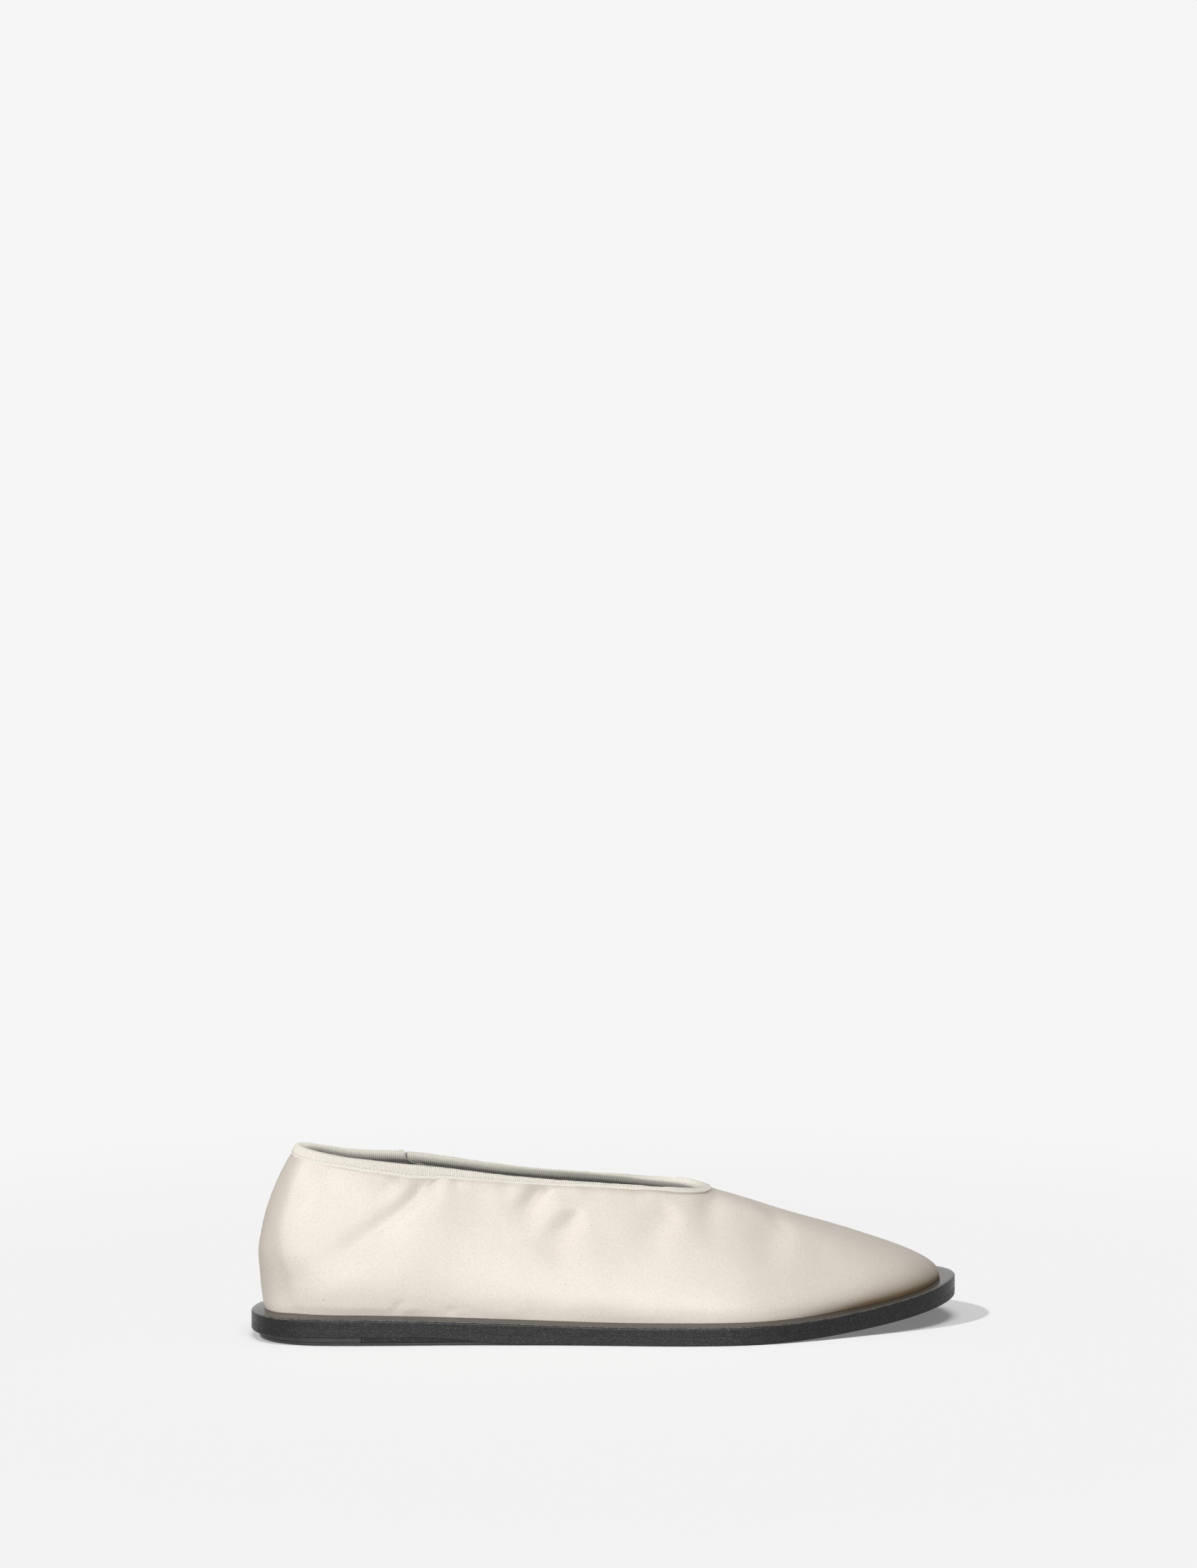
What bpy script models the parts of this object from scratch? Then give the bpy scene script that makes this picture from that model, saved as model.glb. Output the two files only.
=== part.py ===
"""Ballet slipper, right foot: a soft satin upper on a thick leather sole that bends at the ball.

Lengths in this file are millimetres, and x runs forward from the back of the sole, y to the inner
(medial) side, z up from the ground. to_world() turns them into metres about the middle of the sole.
"""

import math

import bmesh
import bpy
import numpy as np
from mathutils import Matrix, Vector

MM = 0.001
GAP = 0.3  # clearance between neighbouring pieces

# Sole
SOLE_LENGTH = 267.0
FLEX_X = 179.0  # ball line, where the sole bends
PIVOT_Z = 11.2
SOLE_THICKNESS = 7.6
OUTSOLE_THICKNESS = 3.3
HEEL_RAISE = 2.9
TOE_SPRING = 9.3
TOE_SPRING_START = 179.0
FLAT_START = 98.0  # the outsole lies flat on the ground from here to the toe spring
RAISE_END = 60.0  # the outsole is at its full raise from here back
MIDSOLE_RAMP = (140.0, 110.0)  # start and length of the rise of the midsole's top toward the heel
LEAST_OUTSOLE_STEP = 2.0  # least midsole left above the outsole
TOP_PIECE_THICKNESS = 1.1
LIFT_JOINT_X = 39.0  # rubber lift behind, leather wedge in front
LIFT_INSET = (0.8, 2.4)  # from the sole's edge to the heel layers, and what the back adds to it
LIFT_INSET_RAMP = (22.0, 20.0)
THINNEST_LIFT = 0.25
FLEX_WEDGE_DEG = 5.0  # opening of the slot under the bend, so that the toe can also drop

# Sole edge in plan, from the heel round the outer side to the toe and back: (x, y)
SOLE_EDGE = (
    (0, -1), (5.5, -17.2), (34, -26.8), (110, -35.5), (178, -45), (222, -34.8), (252, -22.5),
    (267, 0), (256, 28.5), (228, 40.5), (178, 43), (110, 33), (34, 33.7), (6.5, 16.8),
)

# Upper. A ring of stations runs from the heel along the outer side to the toe, then back.
FLANGE = 4.4  # width of sole left showing along the sides
HEEL_FLANGE = 1.8  # what the heel corners add to it, about HEEL_CORNER_X
HEEL_CORNER_X = 12.0
HEEL_CORNER_SPREAD = 10.0
TOE_FLANGE = 1.6  # what the toe adds to it, from TOE_FLANGE_START
TOE_FLANGE_START = 180.0
STATION_FEATHER_X = (0, 11, 34, 70, 110, 150, 190, 224, 247, 267)
TOPLINE_OUTER = (
    (17.2, 3, 69.3), (22.5, -8.5, 68.2), (37, -16.5, 66.1), (66, -20, 62.8), (101, -19.5, 58.2),
    (136, -17.5, 54.8), (156.5, -13.2, 52.6), (165.2, -8.5, 51.5), (168.9, -4, 51.1), (170.1, 0.5, 51.3),
)
TOPLINE_INNER = (
    (22.5, 12.5, 68.9), (36.5, 18.5, 65.9), (66, 20, 62.7), (101, 19, 56.8),
    (136, 17, 53.8), (155.5, 13.2, 52.7), (165, 9.0, 52.5), (168.8, 5.0, 51.8),
)
# Shape of each column of the upper at the stations from heel to toe
BULGE = (4.8, 4.2, 3.6, 3.2, 3.2, 3.0, 2.6, 2.1, 1.6, 1.0)  # how far the side leans out low down
RISE = (20, 19, 16, 14, 14, 14, 12.3, 10, 8.2, 11.6)  # height over which it does
# Shares of the column's run and of its fall that its upper handle holds
REACH = (0.91, 0.75, 0.52, 0.42, 0.42, 0.46, 0.56, 0.66, 0.73, 0.65)
DROP = (0.33, 0.4, 0.48, 0.5, 0.5, 0.5, 0.5, 0.5, 0.515, 0.55)
COLUMNS = 54
ROWS = 9
LASTING_MARGIN = 11.0

# Layers of the upper, counted inwards from its outer face: (start, thickness)
SATIN = (0.0, 0.7)
STIFFENER = (1.0, 1.0)
LINING = (2.3, 0.6)

# Layers on top of the midsole: (start, thickness)
FILLER_LAYER = (0.3, 1.2)
INSOLE_LAYER = (1.8, 1.8)
CUSHION_LAYER = (3.9, 2.5)
SOCK_THICKNESS = 1.0
INSOLE_INSET = 4.6  # from the upper's foot to the insole's edge
SOCK_INSET = 5.8
CUSHION_INSET = 6.6
FILLER_INSET = LASTING_MARGIN + 0.8
FILLER_SPAN = (38.0, 236.0)
FLEX_MARGIN = 1.0  # how far the fillers and the sock lining stop short of the bend
CUSHION_END = 84.0
CUSHION_RAMP = 30.0
CUSHION_EDGE = 0.4
SOCK_RAMP_START = 98.0

BINDING_DEPTH = 2.8
BINDING_WALL = 0.5
BINDING_ARCH = 1.3  # height of the ribbon's fold over the topline
ELASTIC_RADIUS = 0.5
ELASTIC_DROP = 1.0  # below the topline, between the satin and the lining
THREAD_RADIUS = 0.2
STITCH_MARGIN = 0.8  # from the ribbon's lower edge
STITCH_STAND = 0.15  # how far the thread stands off the ribbon
NAIL_RADIUS = 0.8
NAIL_BOTTOM = 0.4
NAIL_TOP = HEEL_RAISE + 2.2
NAILS = ((13, 4), (24, -9), (24, 17), (50, -14), (50, 21))  # (x, y)
SHANK = (48.0, 150.0, 13.0)  # from, to, width

SLAB_STATIONS = 26


# ---------------------------------------------------------------- curves and levels

def closed_spline(points, count):
    """Smooth closed curve through the points, as count points."""
    points = np.asarray(points, float)
    ends = np.roll(points, -1, axis=0)
    spans = np.sqrt(np.linalg.norm(ends - points, axis=1))
    size = len(points)
    matrix = np.zeros((size, size))
    right = np.zeros_like(points)
    for i in range(size):
        before, after = spans[i - 1], spans[i]
        matrix[i, i - 1] += 1 / before
        matrix[i, i] += 2 / before + 2 / after
        matrix[i, (i + 1) % size] += 1 / after
        right[i] = 3 * (points[i] - points[i - 1]) / before**2 + 3 * (ends[i] - points[i]) / after**2
    slopes = np.linalg.solve(matrix, right)
    position = np.linspace(0, size, count, endpoint=False)
    index = position.astype(int)
    t = (position - index)[:, None]
    span = spans[index][:, None]
    return (
        (2 * t**3 - 3 * t**2 + 1) * points[index]
        + (t**3 - 2 * t**2 + t) * span * slopes[index]
        + (3 * t**2 - 2 * t**3) * ends[index]
        + (t**3 - t**2) * span * np.roll(slopes, -1, axis=0)[index]
    )


def smooth(t):
    t = np.clip(t, 0, 1)
    return t * t * (3 - 2 * t)


EDGE = closed_spline(SOLE_EDGE, 560)
MIDDLE_X = (EDGE[:, 0].min() + EDGE[:, 0].max()) / 2
MIDDLE_Y = (EDGE[:, 1].min() + EDGE[:, 1].max()) / 2


def to_world(points):
    return (np.asarray(points, float) - (MIDDLE_X, MIDDLE_Y, 0)) * MM


def outward(loop):
    """Unit normals of a closed plan loop that runs anticlockwise."""
    along = np.roll(loop, -1, axis=0) - np.roll(loop, 1, axis=0)
    normal = np.stack([along[:, 1], -along[:, 0]], axis=1)
    return normal / np.linalg.norm(normal, axis=1)[:, None]


def inset_edge(width):
    """Sole edge moved inwards. width is a number, or a function of x."""
    distance = width(EDGE[:, 0]) if callable(width) else np.full(len(EDGE), float(width))
    return EDGE - outward(EDGE) * distance[:, None]


def flange(x):
    toe = np.clip((x - TOE_FLANGE_START) / (SOLE_LENGTH - TOE_FLANGE_START), 0, None) ** 3
    heel = np.exp(-(((x - HEEL_CORNER_X) / HEEL_CORNER_SPREAD) ** 2))
    return FLANGE + HEEL_FLANGE * heel + TOE_FLANGE * toe


def toe_spring(x):
    return TOE_SPRING * np.clip((x - TOE_SPRING_START) / (SOLE_LENGTH - TOE_SPRING_START), 0, None) ** 2


def sole_bottom(x):
    return HEEL_RAISE * smooth((FLAT_START - x) / (FLAT_START - RAISE_END)) + toe_spring(x)


def midsole_top(x):
    start, length = MIDSOLE_RAMP
    return SOLE_THICKNESS + HEEL_RAISE * smooth((start - x) / length) + toe_spring(x)


def outsole_top(x):
    return np.minimum(sole_bottom(x) + OUTSOLE_THICKNESS, midsole_top(x) - LEAST_OUTSOLE_STEP)


def above_midsole(height):
    return lambda x: midsole_top(x) + height


# ---------------------------------------------------------------- Blender helpers

def clear_scene():
    for obj in list(bpy.data.objects):
        bpy.data.objects.remove(obj, do_unlink=True)


def new_collection(name):
    collection = bpy.data.collections.new(name)
    bpy.context.scene.collection.children.link(collection)
    return collection


def material(name, colour, roughness, metallic=0.0):
    made = bpy.data.materials.new(name)
    made.use_nodes = True
    shader = made.node_tree.nodes["Principled BSDF"]
    shader.inputs["Base Color"].default_value = (*colour, 1)
    shader.inputs["Roughness"].default_value = roughness
    shader.inputs["Metallic"].default_value = metallic
    return made


def place(name, mesh, finish, moving=False, smooth_angle=40):
    """Adds the mesh as a named object. A moving piece hangs on the empty at the bend."""
    obj = bpy.data.objects.new(name, mesh)
    mesh.materials.append(finish)
    mesh.shade_smooth()
    mesh.set_sharp_from_angle(angle=math.radians(smooth_angle))
    PARTS.objects.link(obj)
    if moving:
        mesh.transform(Matrix.Translation(-BEND.location))
        obj.parent = BEND
    return obj


def mesh_from(name, points, faces):
    """Mesh of a loft, with its normals facing out."""
    mesh = bpy.data.meshes.new(name)
    mesh.from_pydata([tuple(p) for p in to_world(points)], [], faces)
    shape = bmesh.new()
    shape.from_mesh(mesh)
    bmesh.ops.recalc_face_normals(shape, faces=shape.faces)
    shape.to_mesh(mesh)
    shape.free()
    return mesh


def cut_with(obj, cutter):
    modifier = obj.modifiers.new("Cut", "BOOLEAN")
    modifier.operation = "DIFFERENCE"
    modifier.solver = "EXACT"
    modifier.object = cutter


# ---------------------------------------------------------------- flat layers

def sides_at(loop, x):
    """Outer and inner y of a plan loop at each x."""
    toe, heel = loop[:, 0].argmax(), loop[:, 0].argmin()
    turned = np.roll(loop, -heel, axis=0)
    tip = (toe - heel) % len(loop)
    outer, inner = turned[: tip + 1], np.vstack([turned[tip:], turned[:1]])[::-1]
    return np.interp(x, outer[:, 0], outer[:, 1]), np.interp(x, inner[:, 0], inner[:, 1])


def rounded_stations(start, end, round_start, round_end):
    """Stations along x, closer together where the outline turns round an end."""
    t = np.linspace(0, 1, SLAB_STATIONS)
    if round_start and round_end:
        t = (1 - np.cos(math.pi * t)) / 2
    elif round_start:
        t = 1 - np.sin(math.pi / 2 * (1 - t))
    elif round_end:
        t = np.sin(math.pi / 2 * t)
    return start + (end - start) * t


def slab(name, loop, bottom, top, start=-math.inf, end=math.inf, slant=0.0):
    """Layer between two levels inside a plan loop. slant tips a cut end about the bend's height."""
    low, high = loop[:, 0].min() + 0.02, loop[:, 0].max() - 0.02
    stations = rounded_stations(max(start, low), min(end, high), start <= low, end >= high)
    outer, inner = sides_at(loop, stations)
    points = []
    for x, y_outer, y_inner in zip(stations, outer, inner):
        corners = ((y_outer, bottom(x)), (y_inner, bottom(x)), (y_inner, top(x)), (y_outer, top(x)))
        for y, z in corners:
            cut_end = (x == stations[-1] and end < high) or (x == stations[0] and start > low)
            points.append((x + (slant * (PIVOT_Z - z) if cut_end else 0), y, z))
    faces = [(3, 2, 1, 0)]
    for i in range(len(stations) - 1):
        base = 4 * i
        faces += [(base + k, base + (k + 1) % 4, base + 4 + (k + 1) % 4, base + 4 + k) for k in range(4)]
    last = 4 * (len(stations) - 1)
    faces.append((last, last + 1, last + 2, last + 3))
    return mesh_from(name, points, faces)


def strip_loop(start, end, width):
    """Plan loop of a strip with round ends along the middle of the waist."""
    radius = width / 2
    turns = np.linspace(0, math.pi, 9)
    heel_side = [(start + radius - radius * math.sin(a), radius * math.cos(a)) for a in turns]
    toe_side = [(end - radius + radius * math.sin(a), -radius * math.cos(a)) for a in turns]
    loop = np.array(heel_side + toe_side)
    return loop + (0, sum(sides_at(EDGE, (start + end) / 2)) / 2)


# ---------------------------------------------------------------- upper

def ring_values(values):
    """A value at each station from heel to toe, carried round both sides."""
    return np.array(list(values) + list(values[-2:0:-1]), float)


def feather_line():
    """Plan points and outward normals of the line where the upper meets the sole, one per column."""
    loop = inset_edge(flange)
    normals = outward(loop)
    heel, toe = loop[:, 0].argmin(), loop[:, 0].argmax()
    loop, normals = np.roll(loop, -heel, axis=0), np.roll(normals, -heel, axis=0)
    toe = (toe - heel) % len(loop)
    marks = []
    for x in STATION_FEATHER_X[1:-1]:
        marks.append(np.abs(loop[:toe, 0] - x).argmin())
    inner = [toe + np.abs(loop[toe:, 0] - x).argmin() for x in STATION_FEATHER_X[-2:0:-1]]
    marks = [0] + marks + [toe] + inner + [len(loop)]
    stations = np.linspace(0, len(marks) - 1, COLUMNS, endpoint=False)
    at = np.interp(stations, np.arange(len(marks)), marks)
    index = np.arange(len(loop) + 1)
    wrap = lambda array: np.vstack([array, array[:1]])
    pick = lambda array: np.stack([np.interp(at, index, column) for column in wrap(array).T], axis=1)
    return pick(loop), pick(normals)


def upper_grid():
    """Outer face of the upper as points[column, row], from the feather line to the topline."""
    foot, normal = feather_line()
    top = closed_spline(TOPLINE_OUTER + TOPLINE_INNER[::-1], COLUMNS)
    around = np.linspace(0, 2 * (len(BULGE) - 1), COLUMNS, endpoint=False)
    stations = np.arange(2 * len(BULGE) - 1)
    shape = []
    for values in (BULGE, RISE, REACH, DROP):
        ring = ring_values(values)
        shape.append(np.interp(around, stations, np.append(ring, ring[0]))[:, None])
    bulge, rise, reach, drop = shape
    p0 = np.hstack([foot, (midsole_top(foot[:, 0]) + GAP)[:, None]])
    run = p0 - top
    p1 = p0 + np.hstack([normal * bulge, rise])
    p2 = top + run * np.hstack([reach, reach, drop])
    t = np.linspace(0, 1, ROWS)[None, :, None]
    p0, p1, p2, top = (p[:, None, :] for p in (p0, p1, p2, top))
    return (1 - t) ** 3 * p0 + 3 * t * (1 - t) ** 2 * p1 + 3 * t**2 * (1 - t) * p2 + t**3 * top


def grid_normals(grid):
    around = np.roll(grid, -1, axis=0) - np.roll(grid, 1, axis=0)
    up = np.gradient(grid, axis=1)
    normal = np.cross(around, up)
    return normal / np.linalg.norm(normal, axis=2)[:, :, None]


def shell_mesh(name, grid, cut_x=None, keep_front=False, columns=None):
    """Open surface over the grid or some of its columns, cut square at cut_x if that is given."""
    points = grid.reshape(-1, 3)
    count, rows = grid.shape[:2]
    chosen = range(count) if columns is None else columns
    faces = []
    for i in chosen:
        j = (i + 1) % count
        for k in range(rows - 1):
            faces.append((i * rows + k, j * rows + k, j * rows + k + 1, i * rows + k + 1))
    used = sorted({v for face in faces for v in face})
    order = {old: new for new, old in enumerate(used)}
    mesh = bpy.data.meshes.new(name)
    mesh.from_pydata(
        [tuple(p) for p in to_world(points[used])], [], [tuple(order[v] for v in face) for face in faces]
    )
    if cut_x is not None:
        shape = bmesh.new()
        shape.from_mesh(mesh)
        bmesh.ops.bisect_plane(
            shape,
            geom=shape.verts[:] + shape.edges[:] + shape.faces[:],
            dist=1e-7,
            plane_co=Vector(to_world((cut_x, 0, 0))),
            plane_no=Vector((1, 0, 0)),
            clear_outer=not keep_front,
            clear_inner=keep_front,
        )
        shape.to_mesh(mesh)
        shape.free()
    return mesh


def shell(name, grid, layer, finish, moving=False, **cut):
    """One sheet of the upper: an open surface with Solidify."""
    obj = place(name, shell_mesh(name, grid, **cut), finish, moving)
    modifier = obj.modifiers.new("Thickness", "SOLIDIFY")
    modifier.thickness = layer[1] * MM
    modifier.offset = -1
    modifier.use_even_offset = True
    return obj


def sunk(grid, layer, last_row=None):
    """The grid moved inwards to where a layer starts, with its foot raised clear of the lasting margin."""
    moved = grid - grid_normals(grid) * layer[0]
    climb = grid[:, 1, 2] - grid[:, 0, 2]
    share = ((SATIN[1] + 2 * GAP) / climb)[:, None]
    moved[:, 0] += (moved[:, 1] - moved[:, 0]) * share
    return moved[:, :last_row]


def with_margin(grid):
    """Adds the lasting margin, which turns in under the insole."""
    foot, normal = feather_line()
    inner = grid[:, 0].copy()
    inner[:, :2] -= normal * LASTING_MARGIN
    inner[:, 2] = midsole_top(inner[:, 0]) + GAP
    return np.concatenate([inner[:, None], grid], axis=1)


def swept_ring(name, grid, section):
    """Closed section carried round the topline. The section is (out, up) from the upper's top edge."""
    edge = grid[:, -1]
    out = grid_normals(grid)[:, -1]
    up = grid[:, -1] - grid[:, -2]
    up -= out * (up * out).sum(axis=1)[:, None]
    up /= np.linalg.norm(up, axis=1)[:, None]
    points = [edge + out * a + up * b for a, b in section]
    points = np.stack(points, axis=1).reshape(-1, 3)
    size = len(section)
    faces = []
    for i in range(COLUMNS):
        j = (i + 1) % COLUMNS
        faces += [
            (i * size + k, j * size + k, j * size + (k + 1) % size, i * size + (k + 1) % size)
            for k in range(size)
        ]
    return mesh_from(name, points, faces)


def round_section(out, up, radius, sides):
    angles = np.linspace(0, 2 * math.pi, sides, endpoint=False)
    return [(out + radius * math.cos(a), up + radius * math.sin(a)) for a in angles]


def binding_section():
    """Ribbon folded over the topline: outer leg, arch, inner leg, then back along its inside."""
    inner_face = LINING[0] + LINING[1] + GAP
    middle = (GAP - inner_face) / 2
    radius = (GAP + inner_face) / 2
    arch = np.linspace(0, math.pi, 6)
    big = radius + BINDING_WALL
    inner_arch = BINDING_ARCH - BINDING_WALL
    outside = [(middle + big * math.cos(a), BINDING_ARCH * math.sin(a)) for a in arch]
    inside = [(middle + radius * math.cos(a), inner_arch * math.sin(a)) for a in arch[::-1]]
    legs_out = [(middle - big, -BINDING_DEPTH), (middle - radius, -BINDING_DEPTH)]
    legs_in = [(middle + radius, -BINDING_DEPTH), (middle + big, -BINDING_DEPTH)]
    return outside + legs_out + inside + legs_in


# ---------------------------------------------------------------- pieces

def make_sole(leather, dark_leather):
    slant = math.tan(math.radians(FLEX_WEDGE_DEG))
    whole = inset_edge(0)
    out_top, mid_bottom = outsole_top, lambda x: outsole_top(x) + GAP
    outsole = slab("outsole_rear", whole, sole_bottom, out_top, end=FLEX_X - GAP)
    outsole = place("outsole_rear", outsole, leather)
    place(
        "outsole_forepart",
        slab("outsole_forepart", whole, sole_bottom, out_top, start=FLEX_X + GAP, slant=slant),
        leather, moving=True,
    )
    place(
        "midsole_rear",
        slab("midsole_rear", whole, mid_bottom, midsole_top, end=FLEX_X - GAP), dark_leather,
    )
    place(
        "midsole_forepart",
        slab("midsole_forepart", whole, mid_bottom, midsole_top, start=FLEX_X + GAP, slant=slant),
        dark_leather, moving=True,
    )
    return outsole


def lift_inset(x):
    start, length = LIFT_INSET_RAMP
    return LIFT_INSET[0] + LIFT_INSET[1] * smooth((start - x) / length)


def make_heel(outsole, dark_leather, rubber, steel):
    loop = inset_edge(lift_inset)
    lift_bottom = lambda x: TOP_PIECE_THICKNESS + GAP
    lift_top = lambda x: sole_bottom(x) - GAP
    end = FLAT_START - 1
    while lift_top(end) - lift_bottom(end) < THINNEST_LIFT:
        end -= 1
    lift_rear = place(
        "heel_lift_rubber",
        slab("heel_lift_rubber", loop, lift_bottom, lift_top, end=LIFT_JOINT_X - GAP / 2), rubber,
    )
    lift_front = place(
        "heel_lift_wedge",
        slab("heel_lift_wedge", loop, lift_bottom, lift_top, start=LIFT_JOINT_X + GAP / 2, end=end),
        dark_leather,
    )
    piece_top = lambda x: np.minimum(TOP_PIECE_THICKNESS, lift_top(x))
    end = FLAT_START
    while piece_top(end) < THINNEST_LIFT:
        end -= 1
    top_piece = place(
        "heel_top_piece", slab("heel_top_piece", loop, lambda x: 0 * x, piece_top, end=end), rubber
    )
    cutter = nail_cutter()
    for obj in (lift_rear, lift_front, top_piece, outsole):
        cut_with(obj, cutter)
    for number, (x, y) in enumerate(NAILS, 1):
        shape = bmesh.new()
        add_pin(shape, x, y, NAIL_BOTTOM, NAIL_TOP, NAIL_RADIUS)
        mesh = bpy.data.meshes.new(f"heel_nail_{number}")
        shape.to_mesh(mesh)
        shape.free()
        place(f"heel_nail_{number}", mesh, steel)


def add_pin(shape, x, y, bottom, top, radius):
    middle = to_world((x, y, (bottom + top) / 2))
    bmesh.ops.create_cone(
        shape,
        cap_ends=True,
        segments=12,
        radius1=radius * MM,
        radius2=radius * MM,
        depth=(top - bottom) * MM,
        matrix=Matrix.Translation(Vector(middle)),
    )


def nail_cutter():
    """Clearance holes for all the heel nails."""
    shape = bmesh.new()
    for x, y in NAILS:
        add_pin(shape, x, y, -1, NAIL_TOP + GAP, NAIL_RADIUS + GAP)
    mesh = bpy.data.meshes.new("nail_holes")
    shape.to_mesh(mesh)
    shape.free()
    return guide("nail_holes", mesh)


def guide(name, mesh):
    obj = bpy.data.objects.new(name, mesh)
    obj.hide_render = True
    obj.display_type = "WIRE"
    CUTTERS.objects.link(obj)
    return obj


def layer_levels(layer):
    return above_midsole(layer[0]), above_midsole(layer[0] + layer[1])


def cushion_crown(x):
    swell = (CUSHION_LAYER[1] - CUSHION_EDGE) * smooth((CUSHION_END - x) / CUSHION_RAMP)
    return midsole_top(x) + CUSHION_LAYER[0] + CUSHION_EDGE + swell


def sock_bottom(x):
    swell = (CUSHION_LAYER[1] + GAP) * smooth((SOCK_RAMP_START - x) / CUSHION_RAMP)
    return midsole_top(x) + CUSHION_LAYER[0] + swell


def make_bottom_layers(board, cork, steel, foam, sock):
    hollow = inset_edge(lambda x: flange(x) + FILLER_INSET)
    bottom, top = layer_levels(FILLER_LAYER)
    rear_end, front_start = FLEX_X - FLEX_MARGIN, FLEX_X + FLEX_MARGIN
    waist = place(
        "waist_filler", slab("waist_filler", hollow, bottom, top, start=FILLER_SPAN[0], end=rear_end), cork
    )
    place(
        "forepart_filler",
        slab("forepart_filler", hollow, bottom, top, start=front_start, end=FILLER_SPAN[1]), cork,
        moving=True,
    )
    start, end, width = SHANK
    place("shank", slab("shank", strip_loop(start, end, width), bottom, top), steel)
    slot = strip_loop(start - GAP, end + GAP, width + 2 * GAP)
    cut_with(
        waist,
        guide("shank_slot", slab("shank_slot", slot, above_midsole(-1), above_midsole(4))),
    )
    inside = inset_edge(lambda x: flange(x) + INSOLE_INSET)
    bottom, top = layer_levels(INSOLE_LAYER)
    place("insole_board_rear", slab("insole_board_rear", inside, bottom, top, end=FLEX_X - GAP), board)
    place(
        "insole_forepart", slab("insole_forepart", inside, bottom, top, start=FLEX_X + GAP), board,
        moving=True,
    )
    bottom = above_midsole(CUSHION_LAYER[0])
    pad = inset_edge(lambda x: flange(x) + CUSHION_INSET)
    place("heel_cushion", slab("heel_cushion", pad, bottom, cushion_crown, end=CUSHION_END), foam)
    sock_top = lambda x: sock_bottom(x) + SOCK_THICKNESS
    sheet = inset_edge(lambda x: flange(x) + SOCK_INSET)
    place("sock_lining_rear", slab("sock_lining_rear", sheet, sock_bottom, sock_top, end=rear_end), sock)
    place(
        "sock_lining_forepart",
        slab("sock_lining_forepart", sheet, sock_bottom, sock_top, start=front_start), sock, moving=True,
    )


def columns_between(first, last):
    """Columns of the upper's grid from one station to another, going round the outer side first."""
    per_station = COLUMNS / (2 * (len(BULGE) - 1))
    return range(round(first * per_station), round(last * per_station))


def make_upper(satin, lining, stiff, felt, ribbon, thread, elastic):
    grid = upper_grid()
    whole = with_margin(grid)
    shell("upper_quarters", whole, SATIN, satin, cut_x=FLEX_X - GAP)
    shell("upper_vamp", whole, SATIN, satin, moving=True, cut_x=FLEX_X + GAP, keep_front=True)
    inner = sunk(grid, LINING)
    shell("lining_quarters", inner, LINING, lining, cut_x=FLEX_X - GAP)
    shell("lining_vamp", inner, LINING, lining, moving=True, cut_x=FLEX_X + GAP, keep_front=True)
    middle = sunk(grid, STIFFENER, last_row=ROWS - 1)
    around = 2 * (len(BULGE) - 1)
    counter = [c % COLUMNS for c in columns_between(around - 2.6, around + 2.6)]
    shell("heel_counter", middle[:, : ROWS - 2], STIFFENER, stiff, columns=counter)
    shell("toe_puff", middle[:, : ROWS - 4], STIFFENER, stiff, moving=True, columns=columns_between(7, 11))
    shell("interlining_outer", middle, STIFFENER, felt, columns=columns_between(3, 5.4))
    shell("interlining_inner", middle, STIFFENER, felt, columns=columns_between(12.7, 15))
    place("topline_binding", swept_ring("topline_binding", grid, binding_section()), ribbon)
    centre = -(SATIN[1] + LINING[0]) / 2
    elastic_section = round_section(centre, -ELASTIC_DROP, ELASTIC_RADIUS, 6)
    place("topline_elastic", swept_ring("topline_elastic", grid, elastic_section), elastic)
    thread_out = GAP + BINDING_WALL + THREAD_RADIUS + STITCH_STAND
    thread_section = round_section(thread_out, -BINDING_DEPTH + STITCH_MARGIN, THREAD_RADIUS, 5)
    place("binding_stitching", swept_ring("binding_stitching", grid, thread_section), thread)


clear_scene()
PARTS = new_collection("ballet_slipper")
CUTTERS = new_collection("cutters")
BEND = bpy.data.objects.new("bend_at_ball", None)
BEND.location = to_world((FLEX_X, MIDDLE_Y, PIVOT_Z))
PARTS.objects.link(BEND)
bpy.context.view_layer.update()

SATIN_IVORY = material("satin_ivory", (0.78, 0.72, 0.62), 0.38)
LINING_LEATHER = material("lining_leather", (0.45, 0.42, 0.38), 0.6)
RIBBON = material("grosgrain_ribbon", (0.82, 0.78, 0.68), 0.6)
THREAD = material("thread_cream", (0.74, 0.70, 0.60), 0.7)
ELASTIC = material("elastic_white", (0.85, 0.85, 0.82), 0.7)
SOLE_LEATHER = material("sole_leather_black", (0.03, 0.03, 0.032), 0.42)
MIDSOLE_LEATHER = material("midsole_leather_black", (0.035, 0.034, 0.033), 0.45)
RUBBER = material("rubber_black", (0.02, 0.02, 0.02), 0.6)
STEEL = material("steel", (0.6, 0.6, 0.62), 0.3, 1.0)
BOARD = material("fibreboard", (0.42, 0.30, 0.2), 0.85)
CORK = material("cork", (0.55, 0.38, 0.22), 0.9)
FOAM = material("foam", (0.8, 0.76, 0.66), 0.9)
FELT = material("felt", (0.8, 0.8, 0.78), 0.95)
SOCK = material("sock_leather", (0.5, 0.47, 0.42), 0.55)

heel_outsole = make_sole(SOLE_LEATHER, MIDSOLE_LEATHER)
make_heel(heel_outsole, MIDSOLE_LEATHER, RUBBER, STEEL)
make_bottom_layers(BOARD, CORK, STEEL, FOAM, SOCK)
make_upper(SATIN_IVORY, LINING_LEATHER, BOARD, FELT, RIBBON, THREAD, ELASTIC)
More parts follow.
